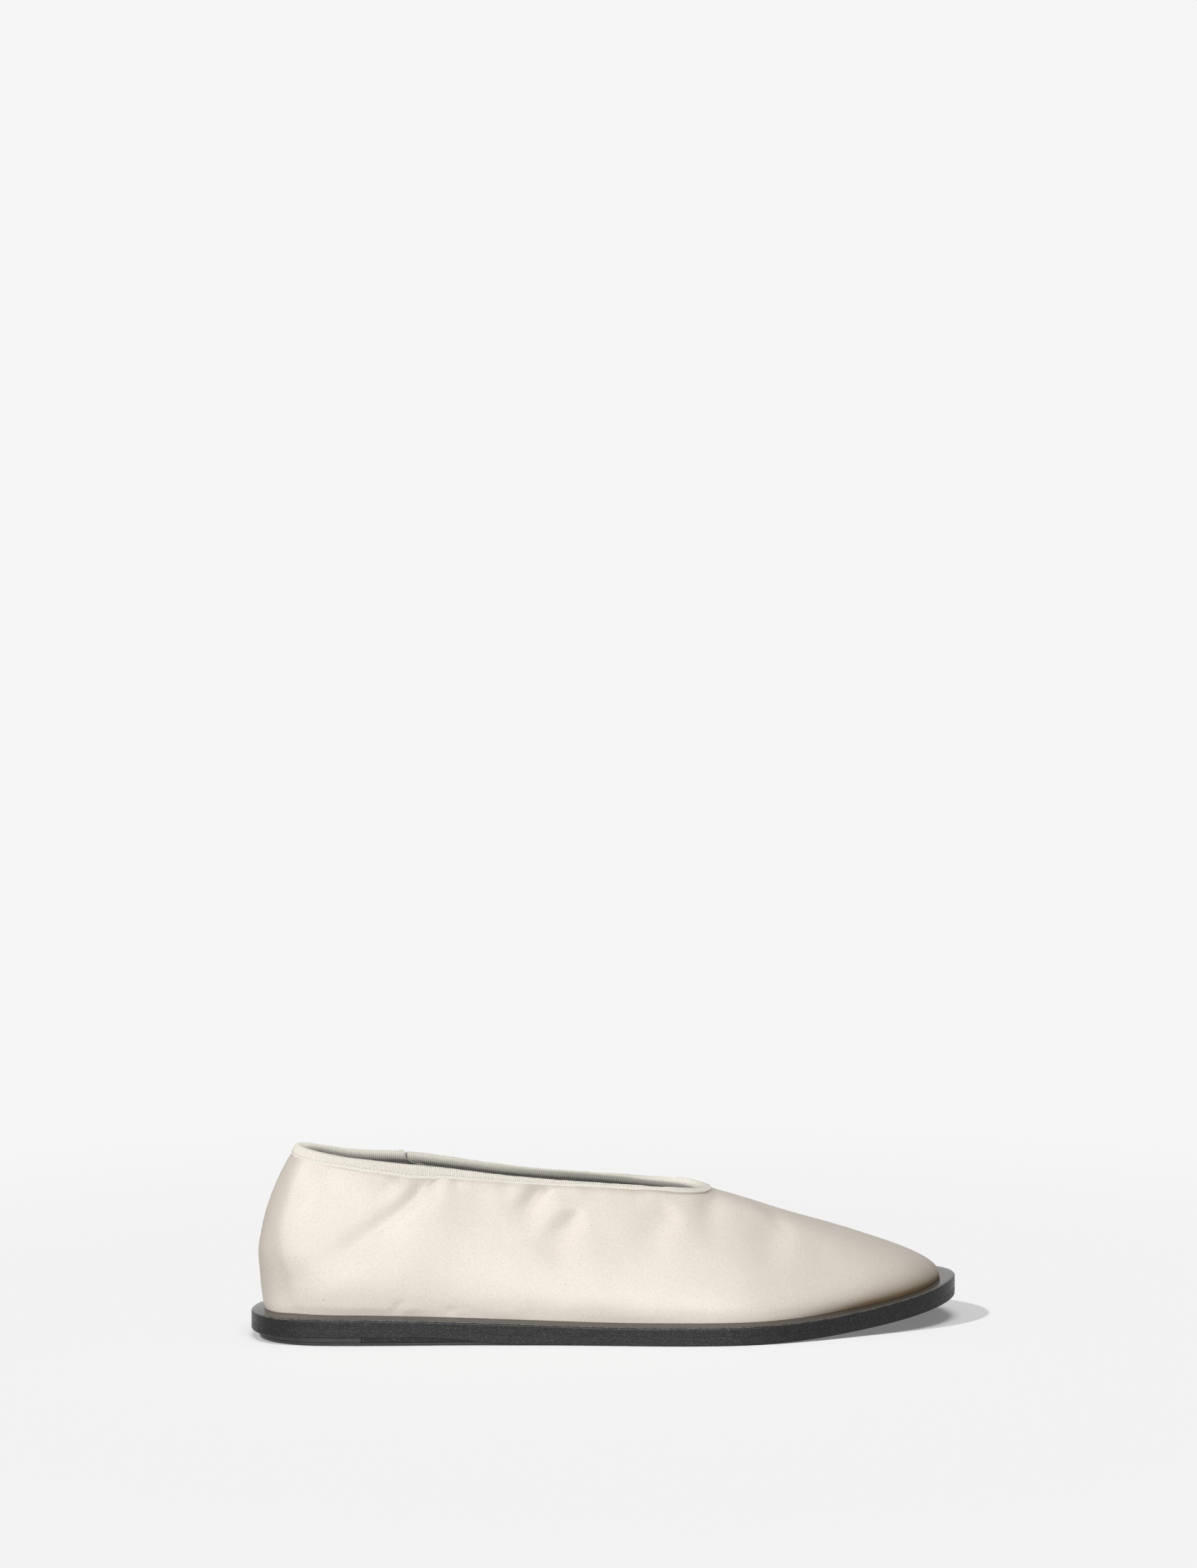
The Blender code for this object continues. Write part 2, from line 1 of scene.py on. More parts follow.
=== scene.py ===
"""Looks of the ballet slipper: satin upper, ribbed binding, lining, sock and leather sole.

Lengths are millimetres in the shoe's own layout (x forward from the back of the sole, y to the inner side,
z up from the ground). to_world() places them in the frame, which is in metres.
"""
import math

import bmesh
import bpy
import numpy as np
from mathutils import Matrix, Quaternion, Vector, noise


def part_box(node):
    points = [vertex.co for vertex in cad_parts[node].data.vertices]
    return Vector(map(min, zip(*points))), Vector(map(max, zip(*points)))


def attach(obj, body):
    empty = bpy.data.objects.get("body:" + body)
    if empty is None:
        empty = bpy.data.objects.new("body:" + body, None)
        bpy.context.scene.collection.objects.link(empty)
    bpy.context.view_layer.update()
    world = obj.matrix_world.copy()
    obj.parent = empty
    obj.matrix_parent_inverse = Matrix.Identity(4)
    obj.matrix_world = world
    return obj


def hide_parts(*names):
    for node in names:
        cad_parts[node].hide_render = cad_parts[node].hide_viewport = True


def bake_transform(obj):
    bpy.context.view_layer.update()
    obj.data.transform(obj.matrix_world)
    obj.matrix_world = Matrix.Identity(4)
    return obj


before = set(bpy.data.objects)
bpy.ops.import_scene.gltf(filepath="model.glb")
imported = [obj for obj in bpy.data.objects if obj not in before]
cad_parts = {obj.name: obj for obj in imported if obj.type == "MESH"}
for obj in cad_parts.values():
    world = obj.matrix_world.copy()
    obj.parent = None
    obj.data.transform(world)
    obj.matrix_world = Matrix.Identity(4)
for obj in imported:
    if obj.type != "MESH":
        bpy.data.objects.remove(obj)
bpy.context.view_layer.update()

MM = 0.001
DESIGN_LENGTH = 267.0  # sole length that the outline below is drawn at

# ---- outline and levels

SOLE_EDGE = (
    (0, -1), (5.5, -17.2), (34, -26.8), (110, -35.5), (178, -45), (222, -34.8), (252, -22.5),
    (267, 0), (256, 28.5), (228, 40.5), (178, 43), (110, 33), (34, 33.7), (6.5, 16.8),
)
FLANGE = 4.4  # width of sole left showing along the sides
HEEL_FLANGE = 1.8  # what the heel corners add to it, about HEEL_CORNER_X
HEEL_CORNER_X = 12.0
HEEL_CORNER_SPREAD = 10.0
TOE_FLANGE = 1.6  # what the toe adds to it, from TOE_FLANGE_START
TOE_FLANGE_START = 180.0
# Stations from heel to toe: where each one meets the sole, then the shape of the upper's curve at each
STATION_FEATHER_X = (0, 11, 34, 70, 110, 150, 190, 224, 247, 267)
TOPLINE_OUTER = (
    (17.2, 3, 69.3), (22.5, -8.5, 68.2), (37, -16.5, 66.1), (66, -20, 62.8), (101, -19.5, 58.2),
    (136, -17.5, 54.8), (156.5, -13.2, 52.6), (165.2, -8.5, 51.5), (168.9, -4, 51.1), (170.1, 0.5, 51.3),
)
TOPLINE_INNER = (
    (22.5, 12.5, 68.0), (36.5, 18.5, 64.9), (66, 20, 62.1), (101, 19, 56.8),
    (136, 17, 53.8), (155.5, 13.2, 52.7), (165, 9.0, 52.5), (168.8, 5.0, 51.8),
)
BULGE = (4.8, 4.2, 3.6, 3.2, 3.2, 3.0, 2.6, 2.1, 1.6, 0.3)  # how far it first leans out
RISE = (20, 19, 16, 14, 14, 14, 12.3, 10, 8.2, 9.8)  # how high it stands before it turns in
REACH = (0.91, 0.75, 0.52, 0.42, 0.42, 0.46, 0.56, 0.66, 0.73, 0.65)  # where it turns to the topline, in plan
DROP = (0.33, 0.4, 0.48, 0.5, 0.5, 0.5, 0.5, 0.5, 0.515, 0.55)  # and in height, as shares of the whole run

SOLE_THICKNESS = 7.6
OUTSOLE_THICKNESS = 3.3
HEEL_RAISE = 2.9
TOE_SPRING = 9.3
TOE_SPRING_START = 179.0
FLAT_START = 98.0
LIFT_FULL = 60.0  # the heel lift has its full height up to here
SEAT_END, WAIST_END = 30.0, 140.0  # the midsole slopes down between these
TOP_PIECE_THICKNESS = 1.1
LIFT_JOINT_X = 39.0

UPPER_COLUMNS = 480
UPPER_ROWS = 90
LAYER_COLUMNS = 240
LAYER_ROWS = 46
RING_STATIONS = 2 * (len(BULGE) - 1)
SATIN_THICKNESS = 0.7
TURN_UNDER = 0.15  # how far the upper's foot sinks into the sole
STIFFENER_START, STIFFENER_THICKNESS = 1.0, 0.9
LINING_START, LINING_THICKNESS = 2.3, 0.6
# Depth of the ribbon's outer leg at places along the outer side
OUTER_LEG = (
    (16, 3.9), (24, 3.4), (34, 2.8), (57, 3.6), (75, 2.4),
    (90, 1.7), (120, 0.9), (145, 1.0), (156, 1.8), (168, 2.3),
)
INNER_LEG = 3.0
ARCH_HEIGHT = 1.3
BINDING_WALL = 0.5
BINDING_GAP = 0.25
SELVEDGE = 1.15  # plain strip at the ribbon's lower edge
RIB_PITCH, RIB_DEPTH, RIB_POINTS = 0.78, 0.12, 5
STITCH_PITCH, STITCH_RADIUS = 1.45, 0.13
THREAD_RADIUS = 0.11
# How much painted shading the ribbon takes: in its grooves outside and inside, and on its inner faces
OUTER_GROOVE_PAINTED_SHADE, INNER_GROOVE_PAINTED_SHADE = 0.13, 0.2
ARCH_PAINTED_SHADE, THROAT_PAINTED_SHADE, LEG_PAINTED_SHADE, MOST_PAINTED_SHADE = 0.2, 0.45, 0.7, 0.95
THROAT_RIDGE = 0.22  # crease along the middle of the ribbon round the front of the throat
JOIN_X = 59.0  # where the ribbon's two ends meet, on the inner side

SOLE_POINTS = 560
SOLE_CUTS = np.arange(2.5, 265, 2.5)
EDGE_HOLD = 0.2  # flat strip that keeps a rounded corner's shading off the face beside it
JOINT_ROUND = 0.04
FLANGE_SLOPE = 0.65
TOE_INSET = 0.45  # how much narrower the sole is at the toe
SOCK_HEIGHT = 3.9  # underside of the sock over the midsole


def closed_spline(points, count):
    """Smooth closed curve through the points, as count points."""
    points = np.asarray(points, float)
    if points.ndim == 1:
        points = points[:, None]
    ends = np.roll(points, -1, axis=0)
    size = len(points)
    spans = np.ones(size)
    if points.shape[1] > 1:
        spans = np.sqrt(np.maximum(np.linalg.norm(ends - points, axis=1), 1e-6))
    matrix = np.zeros((size, size))
    right = np.zeros_like(points)
    for i in range(size):
        before, after = spans[i - 1], spans[i]
        matrix[i, i - 1] += 1 / before
        matrix[i, i] += 2 / before + 2 / after
        matrix[i, (i + 1) % size] += 1 / after
        right[i] = 3 * (points[i] - points[i - 1]) / before**2 + 3 * (ends[i] - points[i]) / after**2
    slopes = np.linalg.solve(matrix, right)
    position = np.linspace(0, size, count, endpoint=False)
    index = position.astype(int)
    t = (position - index)[:, None]
    span = spans[index][:, None]
    return (
        (2 * t**3 - 3 * t**2 + 1) * points[index]
        + (t**3 - 2 * t**2 + t) * span * slopes[index]
        + (3 * t**2 - 2 * t**3) * ends[index]
        + (t**3 - t**2) * span * np.roll(slopes, -1, axis=0)[index]
    )


def smooth(t):
    t = np.clip(t, 0, 1)
    return t * t * (3 - 2 * t)


def rise(x, start, end):
    """Climbs smoothly from 0 at start to 1 at end, whichever of the two is larger."""
    return smooth((x - start) / (end - start))


def hump(x, middle, width):
    return np.exp(-(((x - middle) / width) ** 2))


EDGE = closed_spline(SOLE_EDGE, 1400)
HEEL_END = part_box("midsole_rear")[0].x
TOE_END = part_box("midsole_forepart")[1].x
DESIGN_MIDDLE = np.array((DESIGN_LENGTH / 2, (EDGE[:, 1].min() + EDGE[:, 1].max()) / 2, 0))
FRAME_MIDDLE = Vector(((HEEL_END + TOE_END) / 2, 0, 0))
SCALE = (TOE_END - HEEL_END) / DESIGN_LENGTH


def to_world(points):
    return (np.asarray(points, float) - DESIGN_MIDDLE) * SCALE + np.array(FRAME_MIDDLE)


def outward(loop):
    along = np.roll(loop, -1, axis=0) - np.roll(loop, 1, axis=0)
    normal = np.stack([along[:, 1], -along[:, 0]], axis=1)
    return normal / np.linalg.norm(normal, axis=1)[:, None]


def even_loop(loop, count):
    """The closed loop with count points spaced evenly along it. Its rows may carry more after x, y, z."""
    closed = np.vstack([loop, loop[:1]])
    length = np.concatenate([[0], np.cumsum(np.linalg.norm(np.diff(closed[:, :3], axis=0), axis=1))])
    at = np.linspace(0, length[-1], count, endpoint=False)
    return np.stack([np.interp(at, length, column) for column in closed.T], axis=1)


def inset_edge(width, count=None):
    distance = width(EDGE[:, 0]) if callable(width) else np.full(len(EDGE), float(width))
    loop = EDGE - outward(EDGE) * distance[:, None]
    return loop if count is None else even_loop(loop, count)


def flange(x):
    toe = np.clip((x - TOE_FLANGE_START) / (DESIGN_LENGTH - TOE_FLANGE_START), 0, None) ** 3
    return FLANGE + HEEL_FLANGE * hump(x, HEEL_CORNER_X, HEEL_CORNER_SPREAD) + TOE_FLANGE * toe


def toe_spring(x):
    return TOE_SPRING * np.clip((x - TOE_SPRING_START) / (DESIGN_LENGTH - TOE_SPRING_START), 0, None) ** 2


def sole_bottom(x):
    return HEEL_RAISE * rise(x, FLAT_START, LIFT_FULL) + toe_spring(x)


def midsole_top(x):
    return SOLE_THICKNESS + HEEL_RAISE * rise(x, WAIST_END, SEAT_END) + toe_spring(x)


def outsole_top(x):
    return np.minimum(sole_bottom(x) + OUTSOLE_THICKNESS, midsole_top(x) - 2)


# ---- mesh helpers

def new_object(name, data):
    obj = bpy.data.objects.new(name, data)
    bpy.context.scene.collection.objects.link(obj)
    return obj


def mesh_object(name, points, faces, smooth_angle=35):
    mesh = bpy.data.meshes.new(name)
    mesh.from_pydata([tuple(p) for p in to_world(points)], [], faces)
    mesh.validate()
    mesh.shade_smooth()
    if smooth_angle:
        mesh.set_sharp_from_angle(angle=math.radians(smooth_angle))
    return new_object(name, mesh)


def grid_faces(columns, rows, closed=True, hollow=False):
    """Faces between columns of points. closed joins the last column to the first, and hollow the last row."""
    faces = []
    for i in range(columns if closed else columns - 1):
        here, there = i * rows, (i + 1) % columns * rows
        for k in range(rows if hollow else rows - 1):
            m = (k + 1) % rows
            faces.append((here + k, there + k, there + m, here + m))
    return faces


def coordinates(obj):
    points = np.zeros(len(obj.data.vertices) * 3, np.float32)
    obj.data.vertices.foreach_get("co", points)
    return points


def keep_rest(obj):
    """Stores each point's place at rest, so that a pattern stays on the piece as it bends."""
    attribute = obj.data.attributes.new("rest", "FLOAT_VECTOR", "POINT")
    attribute.data.foreach_set("vector", coordinates(obj))


def rest_points(obj):
    """Each vertex of the piece, in the design's millimetres."""
    return (coordinates(obj).reshape(-1, 3) - np.array(FRAME_MIDDLE)) / SCALE + DESIGN_MIDDLE


def keep_painted_light(obj, values):
    """Stores how far each point takes its material's painted light, from 0 to 1."""
    attribute = obj.data.attributes.new("shade", "FLOAT", "POINT")
    attribute.data.foreach_set("value", np.asarray(values, np.float32).ravel())


def face_out(obj):
    shape = bmesh.new()
    shape.from_mesh(obj.data)
    bmesh.ops.recalc_face_normals(shape, faces=shape.faces)
    shape.to_mesh(obj.data)
    shape.free()


def evaluated_mesh(obj):
    graph = bpy.context.evaluated_depsgraph_get()
    return bpy.data.meshes.new_from_object(obj.evaluated_get(graph))


def apply_modifiers(obj):
    mesh = evaluated_mesh(obj)
    old = obj.data
    obj.modifiers.clear()
    obj.data = mesh
    bpy.data.meshes.remove(old)


def soft_noise(points, size, seed, axis_scale=(1, 1, 1)):
    """Smooth noise between -1 and 1 at each point, with features about size millimetres across."""
    offset = Vector((seed * 17.3, seed * 5.1, seed * 9.7))
    scaled = np.asarray(points, float) / size * np.array(axis_scale)
    flat = scaled.reshape(-1, 3)
    values = np.array([noise.noise(Vector(p) + offset) for p in flat])
    return values.reshape(scaled.shape[:-1])


# ---- upper surface

def ring_values(values):
    return np.array(list(values) + list(values[-2:0:-1]), float)


def feather_line(columns):
    """Line where the upper meets the sole, and the way out from it, spaced so that the stations are even."""
    loop = inset_edge(flange)
    normals = outward(loop)
    heel = loop[:, 0].argmin()
    loop, normals = np.roll(loop, -heel, axis=0), np.roll(normals, -heel, axis=0)
    toe = loop[:, 0].argmax()
    marks = [0] + [np.abs(loop[:toe, 0] - x).argmin() for x in STATION_FEATHER_X[1:-1]] + [toe]
    marks += [toe + np.abs(loop[toe:, 0] - x).argmin() for x in STATION_FEATHER_X[-2:0:-1]]
    marks = np.array(marks, float)
    even = np.arange(len(marks)) * len(loop) / len(marks)
    drift = closed_spline(marks - even, columns)[:, 0]
    at = drift + np.linspace(0, len(loop), columns, endpoint=False)
    index = np.arange(-2, len(loop) + 2)
    wrapped = lambda array: array[index % len(loop)]
    pick = lambda array: np.stack([np.interp(at, index, column) for column in wrapped(array).T], axis=1)
    return pick(loop), pick(normals)


def upper_grid(columns, rows):
    """Outer face of the upper before any fold, as points[column, row] from the sole to the topline."""
    foot, normal = feather_line(columns)
    top = closed_spline(TOPLINE_OUTER + TOPLINE_INNER[::-1], columns)
    bulge, height, reach, drop = (
        np.clip(closed_spline(ring_values(v), columns), min(v), max(v)) for v in (BULGE, RISE, REACH, DROP)
    )
    p0 = np.hstack([foot, (midsole_top(foot[:, 0]) - TURN_UNDER)[:, None]])
    run = p0 - top
    p1 = p0 + np.hstack([normal * bulge, height])
    p2 = top + run * np.hstack([reach, reach, drop])
    t = np.linspace(0, 1, rows)[None, :, None]
    p0, p1, p2, top = (p[:, None, :] for p in (p0, p1, p2, top))
    return (1 - t) ** 3 * p0 + 3 * t * (1 - t) ** 2 * p1 + 3 * t**2 * (1 - t) * p2 + t**3 * top


def grid_normals(grid):
    around = np.roll(grid, -1, axis=0) - np.roll(grid, 1, axis=0)
    up = np.gradient(grid, axis=1)
    normal = np.cross(around, up)
    return normal / np.linalg.norm(normal, axis=2)[:, :, None]


# Folds of the satin: side (-1 outer, 1 inner), ((x, z), ...) from the top, half width, depth, ridge height
FOLDS = (
    (
        -1, ((69, 68), (65, 61.5), (62, 55.5), (57, 50), (47, 42.5), (36, 35), (22, 26), (12, 20)),
        4.2, 1.7, 1.2,
    ),
    (-1, ((54, 60), (48.5, 55.5), (43, 51)), 3.6, 0.6, 0.1),
    (-1, ((109, 59), (102, 50), (95, 41)), 4.0, 1.9, 0.9),
    (-1, ((121, 47), (113, 39), (103, 29)), 5.4, 2.3, 0.3),
    (-1, ((156, 48), (148, 40), (137, 29)), 6.6, 1.8, 0.2),
    (-1, ((175, 54), (170, 46.5), (163, 37)), 4.5, 1.6, 0.2),
    (-1, ((200, 43), (191, 36), (177, 25)), 7.0, 1.6, 0.2),
    (-1, ((54, 17), (52, 12), (50, 9)), 1.9, 0.45, 0.1),
    (-1, ((73, 14), (72, 11), (71, 8)), 1.6, 0.3, 0.1),
    (1, ((60, 60), (55, 50), (44, 41), (28, 31)), 4.0, 1.2, 0.7),
    (1, ((98, 54), (104, 45), (112, 36)), 4.5, 1.0, 0.4),
    (1, ((140, 50), (134, 40), (124, 30)), 5.5, 0.8, 0.2),
    (1, ((172, 46), (176, 38), (180, 30)), 6.0, 0.6, 0.2),
    (1, ((78, 26), (88, 20), (98, 16)), 6.0, 0.5, 0.1),
)
CREST_AT, CREST_TAIL = 1.7, 3.6  # where a fold's ridge stands and how far it runs out, in fold widths
RIDGE_TAIL = 4.0
HEEL_FULLNESS = 1.2  # how far the back of the heel swells out
SHOE_MIDDLE_Y = 2.0
# Strongest painted shading on the satin: by the sole at the toe, over the whole toe, and at the back of the
# heel
FOOT_PAINTED_SHADE, TOE_PAINTED_SHADE, HEEL_PAINTED_SHADE = 0.95, 0.15, 0.19
# Ridges down the back of the heel: side, path from the top, half width behind, height
HEEL_RIDGES = (
    (
        -1, ((21.7, 69), (18.8, 61), (14.6, 49), (12.8, 40.7), (13.7, 31.4), (16.5, 24), (17.5, 14.7)),
        4.0, 0.7,
    ),
    (1, ((22, 66), (18, 56), (14.5, 45), (14, 34), (17, 22)), 5.0, 0.6),
)


def path_of(points, count=60):
    """Smooth open path through a few points."""
    points = np.asarray(points, float)
    padded = np.vstack([2 * points[0] - points[1], points, 2 * points[-1] - points[-2]])
    position = np.linspace(0, len(points) - 1 - 1e-9, count)
    index = position.astype(int)
    t = (position - index)[:, None]
    a, b, c, d = (padded[index + k] for k in range(4))
    return 0.5 * (2 * b + (c - a) * t + (2 * a - 5 * b + 4 * c - d) * t**2 + (3 * b - a - 3 * c + d) * t**3)


def near_path(x, z, path):
    """Signed distance to the path (positive below and ahead of it) and the share of its length."""
    best = np.full(x.shape, 1e9)
    signed, share = np.zeros(x.shape), np.zeros(x.shape)
    ahead = np.gradient(path, axis=0)
    for i, (point, along) in enumerate(zip(path, ahead)):
        dx, dz = x - point[0], z - point[1]
        gap = np.hypot(dx, dz)
        closer = gap < best
        best = np.where(closer, gap, best)
        side = np.sign(-(dx * along[1] - dz * along[0]))
        signed = np.where(closer, gap * side, signed)
        share = np.where(closer, i / (len(path) - 1), share)
    return signed, share


def on_side(grid, side):
    """1 on the outer (-1) or inner (1) side, fading to 0 across the middle of the shoe."""
    return rise((grid[:, :, 1] - SHOE_MIDDLE_Y) * side, -3, 9)


def fold_offsets(grid):
    """How far each point moves out (positive) for the folds and gathers."""
    x, z = grid[:, :, 0], grid[:, :, 2]
    offset = np.zeros(x.shape)
    for side, points, width, depth, ridge in FOLDS:
        signed, share = near_path(x, z, path_of(points))
        fade = rise(share, -0.05, 0.25) * rise(share, 1, 0.45)
        spread = width * (0.6 + 0.8 * share)
        valley = -depth * hump(signed, 0, spread)
        top = CREST_AT * spread
        crest = ridge * hump(signed, top, np.where(signed < top, spread, CREST_TAIL * spread))
        offset += (valley + crest) * fade * on_side(grid, side)
    for side, points, width, height in HEEL_RIDGES:
        signed, share = near_path(x, z, path_of(points))
        fade = np.sin(math.pi * np.clip(share * 0.9 + 0.05, 0, 1)) ** 0.7
        crest = height * hump(signed, 0, np.where(signed < 0, width, RIDGE_TAIL * width))
        offset += crest * fade * on_side(grid, side)
    heel_back = rise(z, 22, 34) * rise(z, 72, 64) * rise(x, 26, 14)
    return offset + HEEL_FULLNESS * heel_back


def ring_distance(line):
    """Distance along a closed line at each of its points, packed as noise coordinates."""
    steps = np.linalg.norm(np.diff(line, axis=0), axis=1)
    length = np.concatenate([[0], np.cumsum(steps)])
    return np.stack([length, np.zeros(len(line)), np.zeros(len(line))], axis=1)


def gather_offsets(grid):
    """Small ripples that the elastic pulls into the satin under the binding, and puckers along the sole."""
    top, foot = grid[:, -1], grid[:, 0]
    along = ring_distance(top)
    ripple = soft_noise(along, 7.0, 3) + 0.6 * soft_noise(along, 3.6, 8)
    drop = np.linalg.norm(grid - top[:, None], axis=2)
    covered = outer_depth(top)[:, None]
    below = smooth(drop / covered) * np.exp(-np.clip(drop - covered, 0, None) / 5.5)
    gathered = 0.5 * ripple[:, None] * below * rise(top[:, None, 0], 168, 138)
    reach = np.linalg.norm(grid - foot[:, None], axis=2)
    pucker = soft_noise(ring_distance(foot), 5.0, 21)
    return gathered + 0.16 * pucker[:, None] * hump(reach, 2.5, 2.6)


def tuck_offsets(grid):
    """Toward the toe the satin turns in where it meets the sole."""
    reach = np.linalg.norm(grid - grid[:, :1], axis=2)
    return -0.4 * rise(grid[:, :1, 0], 190, 240) * np.exp(-((reach / 2.6) ** 1.5))


def draped_grid(columns, rows, inward=0.0):
    """The satin's outer face with its folds, or a sheet inward of it, without the finest ripples."""
    grid = upper_grid(columns, rows)
    share = np.linspace(0, 1, rows)[None, :]
    free = rise(share, 0, 0.08) * rise(share, 1, 0.95)
    wander = 0.5 * soft_noise(grid, 34, 5) + 0.16 * soft_noise(grid, 15, 6)
    offset = (fold_offsets(grid) + wander) * free + tuck_offsets(grid)
    draped = grid + grid_normals(grid) * offset[:, :, None]
    return draped - grid_normals(draped) * inward


def sheet(name, grid, thickness, closed=True):
    obj = mesh_object(name, grid.reshape(-1, 3), grid_faces(*grid.shape[:2], closed), smooth_angle=None)
    thicken = obj.modifiers.new("Thickness", "SOLIDIFY")
    thicken.thickness = thickness * MM
    thicken.offset = -1
    apply_modifiers(obj)
    obj.data.shade_smooth()
    return obj


def satin_painted_shade(points):
    """Painted shading on the satin: darker just above the sole toward the toe, over the toe, and at the back
    of the heel.
    """
    x, z = points[:, 0], points[:, 2]
    above = np.clip(z - midsole_top(x), 0, None)
    reach = 3.4 + 2.4 * rise(x, 212, 252)
    # Painted shading where the satin turns under at the sole toward the toe
    painted_lighting_mask = FOOT_PAINTED_SHADE * rise(x, 168, 230) * np.exp(-((above / reach) ** 1.3))
    toe = TOE_PAINTED_SHADE * rise(x, 160, 235)
    ahead, _ = near_path(x, z, path_of(HEEL_RIDGES[0][1]))
    heel = HEEL_PAINTED_SHADE * rise(ahead, -0.5, -4.5) * rise(x, 20, 17) * rise(above, 2, 12)
    return np.clip(painted_lighting_mask + toe + heel, 0, 1)


def make_upper(finish):
    grid = draped_grid(UPPER_COLUMNS, UPPER_ROWS)
    grid = grid + grid_normals(grid) * gather_offsets(grid)[:, :, None]
    obj = sheet("satin_upper", grid, SATIN_THICKNESS)
    keep_painted_light(obj, satin_painted_shade(rest_points(obj)))
    finish_piece(obj, finish, ("upper_quarters", "upper_vamp"))


def make_lining(finish):
    grid = draped_grid(LAYER_COLUMNS, LAYER_ROWS, LINING_START)
    obj = sheet("lining", grid[:, 1:], LINING_THICKNESS)
    finish_piece(obj, finish, ("lining_quarters", "lining_vamp"))


def make_stiffeners(board, felt):
    """Board round the heel and over the toe, and felt along the sides, between the satin and the lining."""
    grid = draped_grid(LAYER_COLUMNS, LAYER_ROWS, STIFFENER_START)
    station = LAYER_COLUMNS / RING_STATIONS
    for name, first, last, top, finish, slot, body, stands_for in (
        ("counter_sheet", -2.6, 2.6, 0.84, board, "stiffener", "rear", "heel_counter"),
        ("puff_sheet", 7.0, 11.0, 0.6, board, "stiffener", "forepart", "toe_puff"),
        ("felt_sheet_outer", 3.0, 5.4, 0.9, felt, "felt", "rear", "interlining_outer"),
        ("felt_sheet_inner", 12.7, 15.0, 0.9, felt, "felt", "rear", "interlining_inner"),
    ):
        columns = np.arange(round(first * station), round(last * station) + 1) % LAYER_COLUMNS
        obj = sheet(name, grid[columns, 2 : round(top * LAYER_ROWS)], STIFFENER_THICKNESS, closed=False)
        finish_piece(obj, finish, (stands_for,), body=body)


def finish_piece(obj, finish, replaced=(), body=None):
    """Gives a piece its material and joins it to a body, or bakes its place into its points if it has none.
    """
    obj.data.materials.clear()
    obj.data.materials.append(finish)
    keep_rest(obj)
    if body:
        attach(obj, body)
    else:
        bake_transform(obj)
    if replaced:
        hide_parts(*replaced)


# ---- binding

def topline_frames(count):
    """Topline points spaced evenly, with the directions out of the shoe and up from the satin."""
    grid = upper_grid(UPPER_COLUMNS, UPPER_ROWS)
    out = grid_normals(grid)[:, -1]
    up = grid[:, -1] - grid[:, -3]
    up -= out * (up * out).sum(axis=1)[:, None]
    up /= np.linalg.norm(up, axis=1)[:, None]
    edge, out, up = np.split(even_loop(np.hstack([grid[:, -1], out, up]), count), 3, axis=1)
    return edge, out / np.linalg.norm(out, axis=1)[:, None], up / np.linalg.norm(up, axis=1)[:, None]


def topline_length():
    edge = upper_grid(UPPER_COLUMNS, 3)[:, -1]
    return np.linalg.norm(np.roll(edge, -1, axis=0) - edge, axis=1).sum()


def outer_depth(edge):
    """How far the ribbon's outer leg reaches below the topline: most at the heel, least along the throat."""
    near = np.interp(edge[:, 0], *zip(*OUTER_LEG))
    far = np.full(len(edge), INNER_LEG)
    return far + (near - far) * rise(edge[:, 1], 6, -4)


def binding_section():
    """Ribbon folded over the edge, as (leg, out, up, normal out, normal up, ribbed share) round the section.
    leg is 1 on the outer leg, -1 on the inner leg and 0 on the arch. On a leg, up is a share of its depth."""
    inner_face = LINING_START + LINING_THICKNESS + BINDING_GAP
    middle = (BINDING_GAP - inner_face) / 2
    radius = (BINDING_GAP + inner_face) / 2
    big = radius + BINDING_WALL
    section = [(1, middle + big, share, 1, 0, 1) for share in np.linspace(-1, 0, 14)]
    for angle in np.linspace(0, math.pi, 14)[1:-1]:
        a, b = math.cos(angle), math.sin(angle)
        section.append((0, middle + big * a, ARCH_HEIGHT * b, a, b, 1))
    section += [(-1, middle - big, share, -1, 0, 1) for share in np.linspace(0, -1, 9)]
    section += [(-1, middle - radius, share, 0, 0, 0) for share in (-1, 0)]
    section.append((0, middle, ARCH_HEIGHT - BINDING_WALL, 0, 0, 0))
    section += [(1, middle + radius, share, 0, 0, 0) for share in (0, -1)]
    return section


